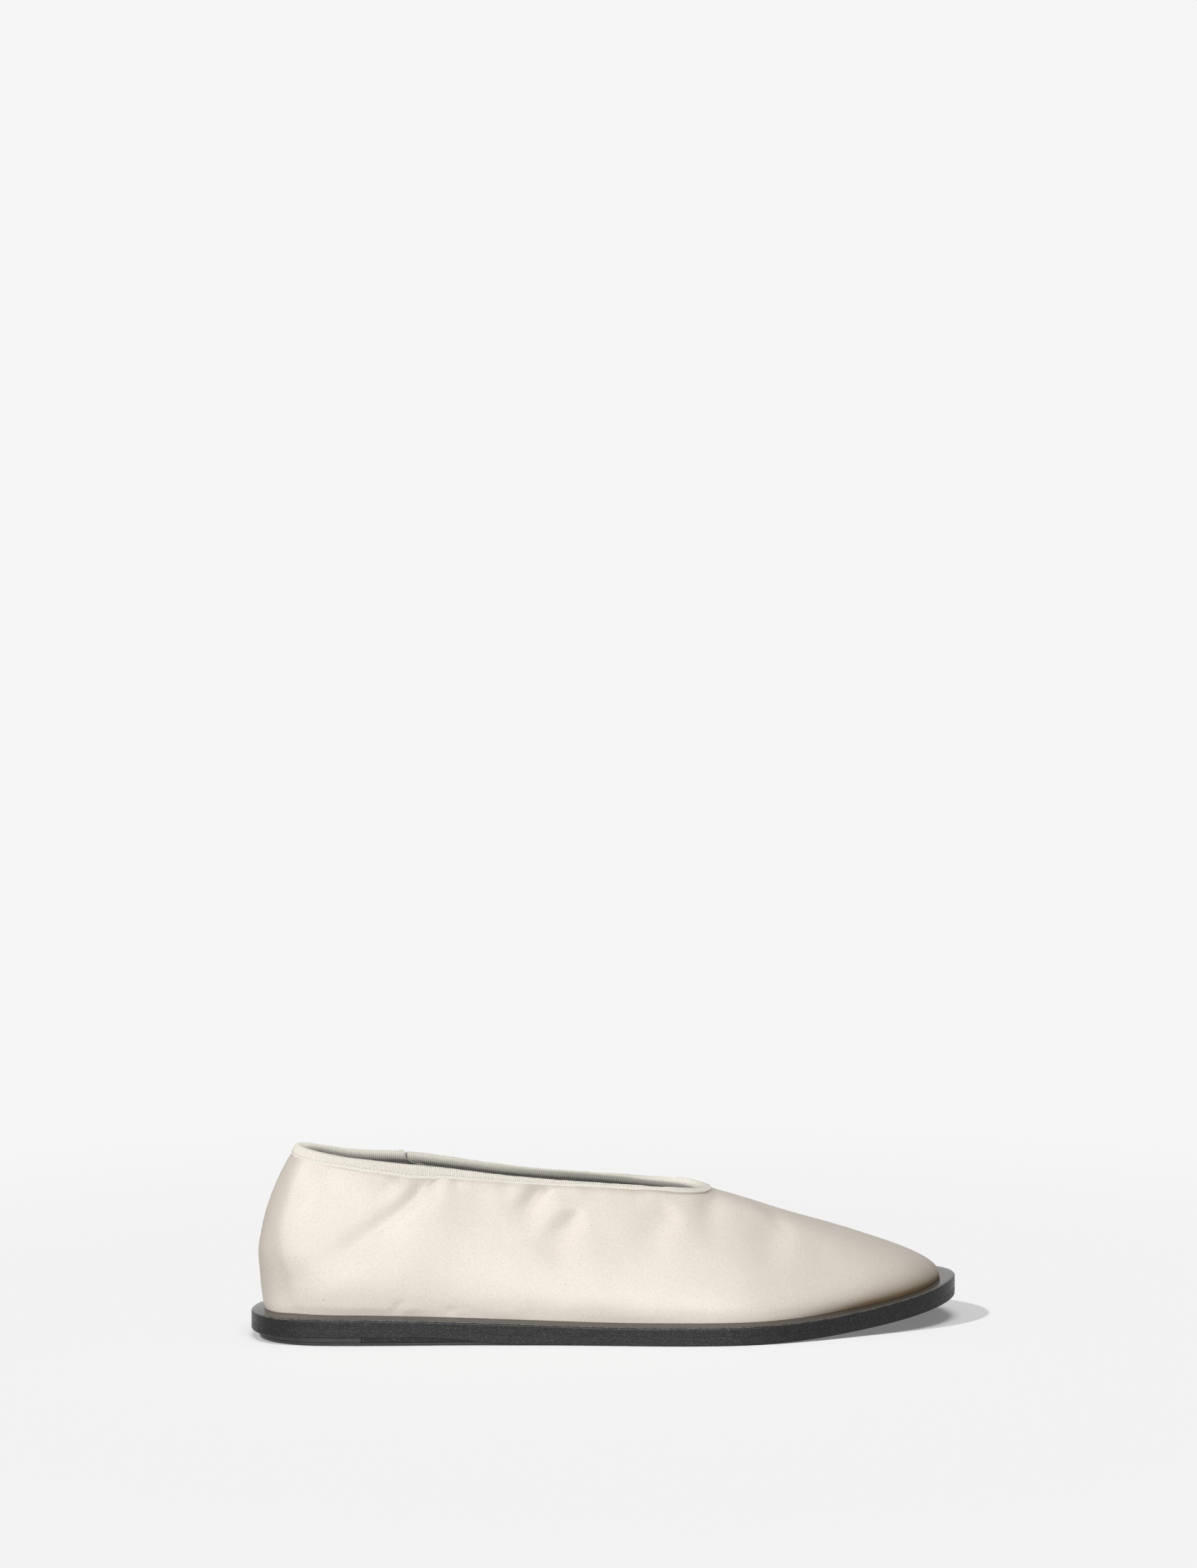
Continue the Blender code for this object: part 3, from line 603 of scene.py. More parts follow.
def make_binding(ribbon, thread):
    length = topline_length()
    ribs = round(length / RIB_PITCH)
    count = ribs * RIB_POINTS
    edge, out, up = topline_frames(count)
    raised_by_join = 0.4 * rise(edge[:, 1], 5, 13) * hump(edge[:, 0], JOIN_X - 2, 8)
    edge = edge + up * raised_by_join[:, None]
    section = binding_section()
    phase = np.cos(2 * math.pi * np.arange(count) / RIB_POINTS)
    rib = RIB_DEPTH * np.sign(phase) * np.abs(phase) ** 0.7
    distance = np.arange(count) * length / count
    along = np.stack([distance, np.zeros(count), np.zeros(count)], axis=1)
    gather = 0.16 * soft_noise(along, 6.0, 2) + 0.1 * soft_noise(along, 2.6, 4)
    hem = 0.35 * soft_noise(along, 14.0, 11) + 0.12 * soft_noise(along, 5.0, 12)
    join = join_profile(distance, edge)
    outer = outer_depth(edge)
    plain = rise(edge[:, 0], 143, 159)
    narrow = rise(edge[:, 0], 70, 130)
    selvedge = SELVEDGE - 0.5 * rise(edge[:, 0], 66, 90)
    parted = hump(distance, distance[join_index(edge)], 0.4)
    points, shade = [], []
    for leg, across, level, normal_out, normal_up, ribbed in section:
        depth = {1: outer, -1: INNER_LEG, 0: 1.0}[leg]
        height = level * depth
        # Painted shading on the ribbon: on the arch and the inner leg where they face into the shoe, in the
        # rib grooves, and in the slit at the join
        arch_painted_shade = smooth((-normal_out - 0.3 + 0.35 * narrow) / 0.7) * (ARCH_PAINTED_SHADE + THROAT_PAINTED_SHADE * narrow)
        leg_painted_shade = LEG_PAINTED_SHADE * smooth((-level - 0.1 + 0.1 * narrow) / 0.5) if leg == -1 else 0.0
        inside = np.minimum(arch_painted_shade + leg_painted_shade * (normal_out < 0), MOST_PAINTED_SHADE)
        share = np.clip(-level, 0, 1) if leg else 0.0
        ribs_here = ribbed * (1 - (0.85 if normal_out > -0.2 else 0.25) * plain)
        if leg == 1:
            ribs_here = ribs_here * rise(height + outer, selvedge - 0.1, selvedge + 0.15)
        grooves = (OUTER_GROOVE_PAINTED_SHADE if leg == 1 else INNER_GROOVE_PAINTED_SHADE) * ribs_here * (phase < 0)
        shade.append(np.maximum(inside + grooves, parted * (leg <= 0)))
        loose = gather + join if abs(normal_out) + abs(normal_up) > 0 else 0.0
        middle_ridge = THROAT_RIDGE * plain * (0.6 < normal_up < 0.8) * (normal_out > 0)
        raised = rib * ribs_here + loose + middle_ridge
        a = across + normal_out * raised
        b = height + normal_up * raised + hem * share
        points.append(edge + out * a[:, None] + up * b[:, None])
    points = np.stack(points, axis=1).reshape(-1, 3)
    faces = grid_faces(count, len(section), hollow=True)
    obj = mesh_object("grosgrain_binding", points, faces, smooth_angle=50)
    keep_painted_light(obj, np.stack(shade, axis=1))
    face_out(obj)
    finish_piece(obj, ribbon, ("topline_binding",), body="rear")
    make_stitches(edge, out, up, gather, hem, outer, thread)
    make_loose_threads(edge, out, up, thread)


def join_index(edge):
    inner = edge[:, 1] > 5
    return int(np.argmin(np.where(inner, np.abs(edge[:, 0] - JOIN_X), 1e9)))


def join_profile(distance, edge):
    """Where the ribbon's two ends meet on the inner side: a narrow gap, with one end lying proud."""
    away = distance - distance[join_index(edge)]
    return 0.35 * hump(away, 1.6, 1.3) - 0.8 * hump(away, 0, 0.45)


def make_stitches(edge, out, up, gather, hem, depth, thread):
    """One row of short stitches just above the ribbon's plain edge, each a capsule sunk into the ribs."""
    number = round(topline_length() / STITCH_PITCH)
    points, faces = [], []
    sides, rings = 6, 7
    capsule = grid_faces(rings, sides, closed=False, hollow=True)
    reach = STITCH_PITCH * 0.38
    turn = np.linspace(0, 2 * math.pi, sides, endpoint=False)[:, None]
    for i in range(number):
        index = int(i * len(edge) / number)
        radius = STITCH_RADIUS - 0.06 * rise(edge[index][0], 66, 86)
        along = edge[(index + 3) % len(edge)] - edge[index - 3]
        along /= np.linalg.norm(along)
        centre = edge[index] + out[index] * (BINDING_GAP + BINDING_WALL + gather[index] + 0.02)
        centre = centre + up[index] * (SELVEDGE + 0.12 - depth[index] + hem[index] * 0.7)
        tilt = along + up[index] * 0.12
        first = len(points)
        around = out[index] * np.cos(turn) + up[index] * np.sin(turn)
        for t in np.linspace(-1, 1, rings):
            thick = radius * math.sqrt(max(1 - t**4, 0.02))
            points.extend(centre + tilt * t * reach - out[index] * 0.09 * t * t + around * thick)
        faces += [tuple(first + k for k in face) for face in capsule]
        faces.append(tuple(first + side for side in range(sides))[::-1])
        faces.append(tuple(first + (rings - 1) * sides + side for side in range(sides)))
    obj = mesh_object("binding_stitches", points, faces, smooth_angle=None)
    face_out(obj)
    finish_piece(obj, thread, ("binding_stitching",), body="rear")


def thread_tail(name, path, material):
    curve = bpy.data.curves.new(name, "CURVE")
    curve.dimensions = "3D"
    curve.bevel_depth = THREAD_RADIUS * MM
    curve.bevel_resolution = 2
    curve.use_fill_caps = True
    spline = curve.splines.new("POLY")
    spline.points.add(len(path) - 1)
    for point, place in zip(spline.points, to_world(path)):
        point.co = (*place, 1)
    curve.materials.append(material)
    guide = new_object(name, curve)
    mesh = evaluated_mesh(guide)
    bpy.data.objects.remove(guide)
    mesh.shade_smooth()
    finish_piece(new_object(name, mesh), material, body="rear")


def make_loose_threads(edge, out, up, thread):
    """Thread tails at the ribbon's join, lying against the inside of the inner quarter."""
    start = join_index(edge)
    per_mm = len(edge) / topline_length()
    inside = -(LINING_START + LINING_THICKNESS + BINDING_GAP + BINDING_WALL + 0.35)
    # Each tail: where it begins, its length, its height at both ends and how far it waves
    tails = ((1.0, 9.0, -1.2, -2.4, 0.5), (0.5, 14.0, -1.8, -3.4, 0.9), (-0.5, 6.5, -0.6, -2.9, 0.3))
    for number, (begin, reach, top, low, wave) in enumerate(tails, 1):
        path = []
        for t in np.linspace(0, 1, 16):
            index = int(start - (begin + reach * t) * per_mm) % len(edge)
            height = top + (low - top) * t + wave * math.sin(5.5 * t + number)
            path.append(edge[index] + out[index] * (inside - 0.25 * t) + up[index] * height)
        thread_tail(f"thread_tail_{number}", np.array(path), thread)


# ---- sole

def ring_solid(name, rings, cuts):
    """Closed solid from plan loops, each ring as (loop, level function), starting at the underside.
    It is cut across at each x in cuts, so that it can bend."""
    size = len(rings[0][0])
    points = np.vstack([np.hstack([loop, level(loop[:, 0])[:, None]]) for loop, level in rings])
    mesh = bpy.data.meshes.new(name)
    faces = []
    for ring in range(len(rings) - 1):
        low, high = ring * size, (ring + 1) * size
        faces += [(low + i, low + (i + 1) % size, high + (i + 1) % size, high + i) for i in range(size)]
    last = (len(rings) - 1) * size
    faces.append(tuple(range(size))[::-1])
    faces.append(tuple(range(last, last + size)))
    mesh.from_pydata([tuple(p) for p in points], [], faces)
    shape = bmesh.new()
    shape.from_mesh(mesh)
    for x in cuts:
        bmesh.ops.bisect_plane(
            shape,
            geom=shape.verts[:] + shape.edges[:] + shape.faces[:],
            dist=1e-4, plane_co=(x, 0, 0), plane_no=(1, 0, 0),
        )
    shape.to_mesh(mesh)
    shape.free()
    places = np.array([v.co for v in mesh.vertices])
    mesh.vertices.foreach_set("co", to_world(places).astype(np.float32).ravel())
    obj = new_object(name, mesh)
    face_out(obj)
    mesh.shade_smooth()
    mesh.set_sharp_from_angle(angle=math.radians(40))
    return obj


def edge_rings(inset, bottom, top, bottom_round, top_round, steps=4):
    """Rings that climb a rounded edge: inset(x) is how far the edge stands in from the sole's edge."""
    turn = [(1 - math.sin(angle), 1 - math.cos(angle)) for angle in np.linspace(0, math.pi / 2, steps)]
    steps_up = [(bottom_round * inward, bottom, bottom_round * lift) for inward, lift in turn]
    steps_up.append((0.0, bottom, bottom_round + EDGE_HOLD))
    steps_up.append((0.0, top, -top_round - EDGE_HOLD))
    steps_up += [(top_round * inward, top, -top_round * lift) for lift, inward in turn]
    rings = []
    for inward, level, lift in steps_up:
        loop = inset_edge(lambda x, inward=inward: inset(x) + inward, SOLE_POINTS)
        rings.append((loop, lambda x, level=level, lift=lift: level(x) + lift))
    return rings


def flange_fall(x):
    """How far the sole's outer rim lies below the line where the upper meets it: nothing at the toe."""
    return FLANGE_SLOPE * (1 - 0.9 * rise(x, 205, 255))


def toe_inset(x):
    return TOE_INSET * rise(x, 215, 260)


def make_midsole(finish):
    bottom = lambda x: outsole_top(x) + 0.02
    rim = lambda x: midsole_top(x) - flange_fall(x)
    rings = edge_rings(toe_inset, bottom, rim, JOINT_ROUND, 0.85, steps=6)
    for share in (0.35, 0.7, 1.0):
        loop = inset_edge(lambda x, share=share: 0.95 + (flange(x) - 0.8) * share, SOLE_POINTS)
        rings.append((loop, lambda x, share=share: rim(x) + flange_fall(x) * share**0.8))
    rings.append((inset_edge(lambda x: flange(x) + 4, SOLE_POINTS), midsole_top))
    obj = ring_solid("midsole", rings, SOLE_CUTS)
    normals = np.array([v.normal for v in obj.data.vertices])
    # Marks the upward faces of the flange top, which the sole material lightens as a painted reflection and
    # painted highlight
    keep_painted_light(obj, rise(normals[:, 2], 0.55, 0.85))
    finish_piece(obj, finish, ("midsole_rear", "midsole_forepart"))


def make_outsole(finish):
    rings = edge_rings(lambda x: 0.01 + toe_inset(x), sole_bottom, outsole_top, 0.3, JOINT_ROUND)
    channel = [
        (inset_edge(9.0, SOLE_POINTS), sole_bottom),
        (inset_edge(8.6, SOLE_POINTS), lambda x: sole_bottom(x) + 0.25),
        (inset_edge(8.2, SOLE_POINTS), sole_bottom),
    ]
    obj = ring_solid("outsole", channel + rings, SOLE_CUTS)
    finish_piece(obj, finish, ("outsole_rear", "outsole_forepart"))


def lift_inset(x):
    return 0.8 + 2.4 * rise(x, 22, 2)


def heel_layer(name, start, end, bottom, top, round_edge, finish, replaced):
    """A layer under the heel between two x positions, cut square at its ends, with a softened edge."""
    loop = inset_edge(lift_inset)
    heel, toe = loop[:, 0].argmin(), loop[:, 0].argmax()
    turned = np.roll(loop, -heel, axis=0)
    tip = (toe - heel) % len(loop)
    outer, inner = turned[: tip + 1], turned[tip:][::-1]
    low = max(start, loop[:, 0].min() + 0.01)
    sweep = np.linspace(0, 1, 46)
    stations = low + (end - low) * (sweep if start > 1 else 1 - np.sin(math.pi / 2 * (1 - sweep)))
    outline = [(x, np.interp(x, *outer.T)) for x in stations]
    outline = np.array(outline + [(x, np.interp(x, *inner.T)) for x in stations[::-1]])
    pull = outline - outline.mean(axis=0)
    pull /= np.linalg.norm(pull, axis=1)[:, None]
    rings = []
    for inward, height in ((round_edge, 0.0), (0.3 * round_edge, 0.08), (0.0, 0.25), (0.0, 1.0)):
        rings.append((outline - pull * inward, lambda x, h=height: bottom(x) + (top(x) - bottom(x)) * h))
    obj = ring_solid(name, rings, np.arange(5, 95, 5.0))
    finish_piece(obj, finish, replaced, body="rear")


def make_heel(rubber, leather):
    lift_bottom = lambda x: TOP_PIECE_THICKNESS + 0.06 + 0 * x
    lift_top = lambda x: np.maximum(sole_bottom(x) - 0.05, lift_bottom(x) + 0.02)
    heel_layer(
        "heel_lift_rubber_block", 0, LIFT_JOINT_X - 0.1, lift_bottom, lift_top, 0.15, rubber,
        ("heel_lift_rubber",),
    )
    heel_layer(
        "heel_lift_leather_wedge", LIFT_JOINT_X + 0.1, 83, lift_bottom, lift_top, 0.1, leather,
        ("heel_lift_wedge",),
    )
    piece_top = lambda x: np.maximum(np.minimum(TOP_PIECE_THICKNESS, sole_bottom(x) - 0.05), 0.03)
    heel_layer(
        "heel_top_piece_rubber", 0, 93, lambda x: 0 * x, piece_top, 0.3, rubber, ("heel_top_piece",)
    )


def make_sock(finish):
    """Sock lining, slightly dished, over the cushion."""
    base = lambda x: midsole_top(x) + SOCK_HEIGHT + 2.8 * rise(x, 98, 68)
    top = lambda x: base(x) + 1.0
    inset = lambda x: flange(x) + 4.3
    rings = edge_rings(inset, base, top, 0.2, 0.45, steps=3)
    for share, lift in ((2.0, 0.0), (2.5, -0.18), (3.0, 0.0), (8.0, -0.15)):
        loop = inset_edge(lambda x, share=share: inset(x) + share, SOLE_POINTS)
        rings.append((loop, lambda x, lift=lift: top(x) + lift))
    obj = ring_solid("sock_lining", rings, SOLE_CUTS)
    finish_piece(obj, finish, ("sock_lining_rear", "sock_lining_forepart"))


def make_cushion(finish):
    """Foam pad under the heel of the sock, crowned in the middle and thinned to its edge."""
    length = 84
    base = lambda x: midsole_top(x) + SOCK_HEIGHT
    crown = lambda x: base(x) + 0.4 + 2.1 * rise(x, length, length - 30)
    loop = inset_edge(lambda x: flange(x) + 6.8, SOLE_POINTS)
    loop = loop[loop[:, 0] < length]
    middle = np.array((45.0, 4.0))
    loop = loop[np.argsort(np.arctan2(loop[:, 1] - middle[1], loop[:, 0] - middle[0]))]
    rings = []
    for share, height in ((0.9, 0.0), (1.0, 0.25), (0.98, 0.6), (0.9, 0.88), (0.7, 1.0)):
        ring = middle + (loop - middle) * share
        rings.append((ring, lambda x, h=height: base(x) + (crown(x) - base(x)) * h))
    obj = ring_solid("heel_cushion_pad", rings, ())
    finish_piece(obj, finish, ("heel_cushion",), body="rear")


# ---- materials

class Look:
    """A material in the making, with patterns in millimetres that stay on a piece as it bends.
    A material for the frame's own nodes takes its patterns from the node's own coordinates instead."""

    def __init__(self, name, on_frame=False):
        self.made = bpy.data.materials.new(name)
        self.made.use_nodes = True
        self.tree = self.made.node_tree
        self.shader = self.tree.nodes["Principled BSDF"]
        if on_frame:
            place = self.node("TexCoord").outputs["Object"]
        else:
            place = self.stored("rest").outputs["Vector"]
        self.place = self.node("VectorMath", "SCALE", Vector=place, Scale=1 / MM).outputs[0]

    def node(self, kind, operation=None, **inputs):
        made = self.tree.nodes.new("ShaderNode" + kind)
        if operation:
            made.operation = operation
        for name, value in inputs.items():
            self.feed(made.inputs[name], value)
        return made

    def feed(self, socket, value):
        """Links an output to the socket, or sets the socket's own number or colour."""
        if hasattr(value, "links"):
            self.tree.links.new(value, socket)
        elif socket.type == "RGBA":
            socket.default_value = (*value, 1)
        else:
            socket.default_value = value

    def set(self, name, value):
        self.feed(self.shader.inputs[name], value)

    def stored(self, name):
        made = self.node("Attribute")
        made.attribute_name = name
        return made

    # The points' stored painted light: painted shading on the satin and the ribbon, a painted reflection on
    # the sole's top
    def shade(self):
        return self.stored("shade").outputs["Fac"]

    def noise(self, size, detail=3.0, roughness=0.5, stretch=None):
        place = self.place
        if stretch:
            place = self.node("Mapping", Vector=place, Scale=stretch).outputs["Vector"]
        made = self.node("TexNoise", Vector=place, Scale=1 / size, Detail=detail, Roughness=roughness)
        return made.outputs["Fac"]

    def ramp(self, value, *stops):
        """Colour ramp. A stop is (position, colour), and the colour is r, g, b or one grey."""
        made = self.node("ValToRGB", Fac=value)
        elements = made.color_ramp.elements
        while len(elements) < len(stops):
            elements.new(0.5)
        for element, (position, colour) in zip(elements, stops):
            element.position = position
            element.color = (*(colour if isinstance(colour, tuple) else (colour,) * 3), 1)
        return made.outputs["Color"]

    def mix(self, factor, first, second, blend="MIX"):
        made = self.node("Mix")
        made.data_type = "RGBA"
        made.blend_type = blend
        for index, value in ((0, factor), (6, first), (7, second)):
            self.feed(made.inputs[index], value)
        return made.outputs[2]

    def product(self, first, second):
        return self.mix(1.0, first, second, "MULTIPLY")

    def bump(self, height, distance, strength=1.0, **under):
        made = self.node("Bump", Height=height, Distance=distance * MM, Strength=strength, **under)
        return made.outputs["Normal"]


def satin_material():
    """Ivory satin: broad soft highlight, fine speckled weave and a slow change of tone."""
    look = Look("duchess_satin")
    cloudy = look.ramp(look.noise(26, 2), (0.3, (0.705, 0.638, 0.56)), (0.7, (0.745, 0.682, 0.605)))
    # Painted shading: dark brown mixed in by the points' stored mark, by the sole at the toe, over the toe
    # and at the back of the heel
    cloudy = look.mix(look.shade(), cloudy, (0.145, 0.095, 0.048))
    grain = look.ramp(look.noise(0.45, 3, 0.75), (0.3, (0.85, 0.85, 0.83)), (0.7, 1.11))
    specks = look.ramp(look.noise(1.0, 0), (0.88, 1), (0.92, (0.35, 0.3, 0.25)))
    look.set("Base Color", look.product(look.product(cloudy, grain), specks))
    look.set("Roughness", look.ramp(look.noise(1.2, 2), (0.2, 0.46), (0.8, 0.56)))
    look.set("Specular IOR Level", 0.9)
    weft = look.noise(0.6, 2, 0.7, (1, 1, 2.0))
    look.set("Normal", look.bump(weft, 0.045, 0.7))
    return look.made


def ribbon_material():
    look = Look("grosgrain")
    tone = look.ramp(look.noise(0.5, 2), (0.3, (0.70, 0.67, 0.58)), (0.7, (0.80, 0.77, 0.685)))
    # Painted shading: dark grey where the ribbon faces into the shoe, in its grooves and at the join
    look.set("Base Color", look.mix(look.shade(), tone, (0.125, 0.121, 0.11)))
    look.set("Roughness", 0.62)
    look.set("Sheen Weight", 0.2)
    fibres = look.noise(0.16, 2, 0.6, (1, 1, 0.3))
    look.set("Normal", look.bump(fibres, 0.02))
    return look.made


def thread_material():
    look = Look("thread")
    twist = look.noise(0.2, 1, 0.5, (1, 3, 1))
    look.set("Base Color", look.ramp(twist, (0.3, (0.42, 0.41, 0.37)), (0.7, (0.62, 0.60, 0.54))))
    look.set("Roughness", 0.6)
    look.set("Normal", look.bump(twist, 0.03))
    return look.made


def leather_material(name, dark, light, roughness, grain=0.9):
    """Soft leather: pebbled grain over slow tonal change."""
    look = Look(name)
    look.set("Base Color", look.ramp(look.noise(14), (0.3, dark), (0.7, light)))
    cells = look.node("TexVoronoi", Vector=look.place, Scale=1 / grain)
    cells.feature = "DISTANCE_TO_EDGE"
    look.set("Normal", look.bump(cells.outputs["Distance"], 0.06, 0.6))
    look.set("Roughness", look.ramp(look.noise(3), (0.25, roughness - 0.07), (0.75, roughness + 0.08)))
    return look.made


def sole_material(name, base, roughness=0.42, rim=None):
    """Black stained sole leather: fibres and scratches along the edge, and a waxed sheen that varies in
    spots.
    The rim colour is a painted reflection where the piece's stored mark picks out the top, with painted
    highlight spots where it turns to the side."""
    look = Look(name)
    worn = tuple(c * 2 + 0.012 for c in base)
    tone = look.ramp(look.noise(5, 4, 0.6), (0.35, base), (0.75, tuple(c * 1.5 for c in base)))
    specks = look.ramp(look.noise(0.5, 2, 0.7), (0.62, 0), (0.8, 1))
    tone = look.mix(specks, tone, worn)
    rough = look.ramp(look.noise(1.4, 3, 0.6), (0.3, roughness - 0.1), (0.7, roughness + 0.12))
    waxed = look.ramp(look.noise(0.34, 3, 0.7, (1, 1, 0.6)), (0.5, 0.26), (0.78, 1.0))
    if rim:
        top = look.shade()
        # Painted reflection: the lighter rim colour on the upward faces of the flange top
        tone = look.mix(top, tone, rim)
        # Painted highlight: lighter grey spots on the rounding where the top turns to the side, for the glint
        # of a lamp above
        turn = look.ramp(top, (0.0, 0), (0.3, 1), (0.75, 1), (1.0, 0))
        painted_lighting_mask = look.ramp(look.noise(0.7, 3, 0.7, (0.5, 0.5, 1)), (0.42, 0), (0.62, 1))
        tone = look.mix(look.product(turn, painted_lighting_mask), tone, (0.17, 0.168, 0.165))
        rough = look.mix(top, rough, (0.2, 0.2, 0.2))
        waxed = look.mix(top, waxed, (0.6, 0.6, 0.6))
    look.set("Base Color", tone)
    look.set("Roughness", rough)
    look.set("Specular IOR Level", waxed)
    scratches = look.bump(look.noise(2.0, 3, 0.65, (0.09, 0.09, 1.6)), 0.05, 0.8)
    pits = look.noise(0.7, 3, 0.65)
    look.set("Normal", look.bump(pits, 0.045, 0.8, Normal=scratches))
    return look.made


def rubber_material():
    look = Look("heel_rubber")
    look.set("Base Color", look.ramp(look.noise(3), (0.3, 0.016), (0.7, (0.03, 0.03, 0.031))))
    look.set("Roughness", 0.5)
    look.set("Normal", look.bump(look.noise(0.4, 2), 0.03))
    return look.made


def steel_material():
    look = Look("brushed_steel", on_frame=True)
    brushed = look.noise(0.3, 2, 0.5, (0.05, 1, 1))
    look.set("Base Color", look.ramp(brushed, (0.3, (0.42, 0.42, 0.43)), (0.7, (0.62, 0.62, 0.63))))
    look.set("Metallic", 1.0)
    look.set("Roughness", 0.38)
    return look.made


def fibre_material(name, dark, light, size, on_frame=True):
    """Board, felt, cork and foam: speckled and matt."""
    look = Look(name, on_frame)
    speck = look.noise(size, 4, 0.7)
    look.set("Base Color", look.ramp(speck, (0.35, dark), (0.65, light)))
    look.set("Roughness", 0.88)
    look.set("Normal", look.bump(speck, 0.12))
    return look.made


def dress_cad(finish, *names):
    for name in names:
        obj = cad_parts[name]
        obj.data.materials.clear()
        obj.data.materials.append(finish)


# ---- stage

CAMERA_ELEVATION = 10.1
CAMERA_TURN = 7.8
CAMERA_DISTANCE = 1.26
CAMERA_LENS = 76.25
AIM_UP = 7.907  # how far above the shoe the camera looks, so that the shoe sits low in the frame
AIM_LEFT = 0.168
TARGET = (133.5, 0.0, 30.0)
SENSOR_WIDTH = 36


def make_camera():
    """Camera low on the outer side, a little behind the shoe, which sits low in a tall frame."""
    elevation, turn = math.radians(CAMERA_ELEVATION), math.radians(CAMERA_TURN)
    back = Vector((
        -math.sin(turn) * math.cos(elevation), -math.cos(turn) * math.cos(elevation), math.sin(elevation)
    ))
    camera = new_object("camera", bpy.data.cameras.new("camera"))
    camera.data.sensor_width = SENSOR_WIDTH
    camera.data.lens = CAMERA_LENS
    camera.location = Vector(to_world(TARGET)) + back * CAMERA_DISTANCE
    aim = (-back).to_track_quat("-Z", "Y")
    aim = aim @ Quaternion((0, 1, 0), math.radians(AIM_LEFT)) @ Quaternion((1, 0, 0), math.radians(AIM_UP))
    camera.rotation_mode = "QUATERNION"
    camera.rotation_quaternion = aim
    camera.data.clip_start, camera.data.clip_end = 0.01, 100
    bpy.context.scene.camera = camera


def area_light(name, place, aim, size, power):
    data = bpy.data.lights.new(name, "AREA")
    data.shape = "RECTANGLE"
    data.size, data.size_y = size
    data.energy = power
    return add_light(name, data, place, aim)


def add_light(name, data, place, aim):
    light = new_object(name, data)
    light.location = place
    light.rotation_mode = "QUATERNION"
    light.rotation_quaternion = (Vector(aim) - Vector(place)).to_track_quat("-Z", "Y")
    return light


# Lamps on the shoe: name, place, aim, size and power
LIGHTS = (
    ("key", (-1.3, -0.5, 1.2), (0.0, 0.0, 0.02), (0.3, 0.3), 9),
    ("front", (0.0, -2.2, 0.8), (0.0, 0.0, 0.03), (1.8, 1.0), 6),
    ("front_low", (0.0, -2.4, 0.35), (0.0, 0.0, 0.03), (1.6, 0.5), 21),
    ("front_left", (-1.1, -2.2, 0.45), (0.0, 0.0, 0.03), (1.0, 0.6), 15),
    ("top", (0.1, -0.1, 2.0), (0.0, 0.0, 0.03), (0.6, 0.6), 6),
)
SKY = 0.5
PAPER = 0.922  # tone of the plain paper
PAPER_ALBEDO = 0.24
PAPER_BOUNCE = 0.24  # light that the paper throws back on the shoe
PAPER_MIRRORED = 0.85  # how bright the paper looks in a reflection
PAPER_FADE = (0.25, 0.6)  # metres from the shoe over which the light on the paper gives way to its own glow
# Suns that light the paper alone: name, direction, width in degrees and how much of the paper's tone they add
PAPER_SUNS = (
    ("side_sun", (-1.3, -0.5, 1.4), 2.5, 0.28),
    ("overhead_sun", (0.0, -0.2, 1.0), 28.0, 0.34),
)


def make_stage():
    """Pale seamless paper all round, flat by the shoe and curving up far away."""
    flat, radius, height = 3.0, 1.5, 5.0
    profile = [(0.12 * k * k, 0.0) for k in range(1, 6)]
    for angle in np.linspace(0, math.pi / 2, 20):
        profile.append((flat + radius * math.sin(angle), radius * (1 - math.cos(angle))))
    profile.append((flat + radius, height))
    turns = 72
    points, faces = [(0, 0, 0)], []
    for reach, level in profile:
        for k in range(turns):
            angle = 2 * math.pi * k / turns
            points.append((reach * math.cos(angle), reach * math.sin(angle), level))
    for k in range(turns):
        faces.append((0, 1 + k, 1 + (k + 1) % turns))
    wall = grid_faces(len(profile), turns, closed=False, hollow=True)
    faces += [tuple(1 + k for k in face) for face in wall]
    mesh = bpy.data.meshes.new("backdrop")
    mesh.from_pydata(points, [], faces)
    mesh.shade_smooth()
    floor = new_object("backdrop", mesh)
    mesh.materials.append(paper_material())
    world = bpy.data.worlds.new("studio")
    bpy.context.scene.world = world
    world.use_nodes = True
    sky = world.node_tree.nodes["Background"]
    sky.inputs["Color"].default_value = (1, 1, 1, 1)
    sky.inputs["Strength"].default_value = SKY
    for lamp in LIGHTS:
        link_light(area_light(*lamp), floor, "EXCLUDE")
    for name, place, width, share in PAPER_SUNS:
        sun = bpy.data.lights.new(name, "SUN")
        sun.angle = math.radians(width)
        slope = Vector(place).normalized().z
        sun.energy = share * math.pi / (PAPER_ALBEDO * slope)
        link_light(add_light(name, sun, place, (0, 0, 0)), floor, "INCLUDE")
    bpy.context.scene.view_settings.view_transform = "Standard"
    bpy.context.scene.view_settings.look = "None"


def link_light(light, floor, state):
    """Keeps a lamp off the paper (EXCLUDE) or on the paper alone (INCLUDE). The paper never blocks a lamp."""
    for role, linked in (("receiver_collection", state), ("blocker_collection", "EXCLUDE")):
        group = bpy.data.collections.new(light.name + "_" + role)
        group.objects.link(floor)
        group.collection_objects[0].light_linking.link_state = linked
        setattr(light.light_linking, role, group)


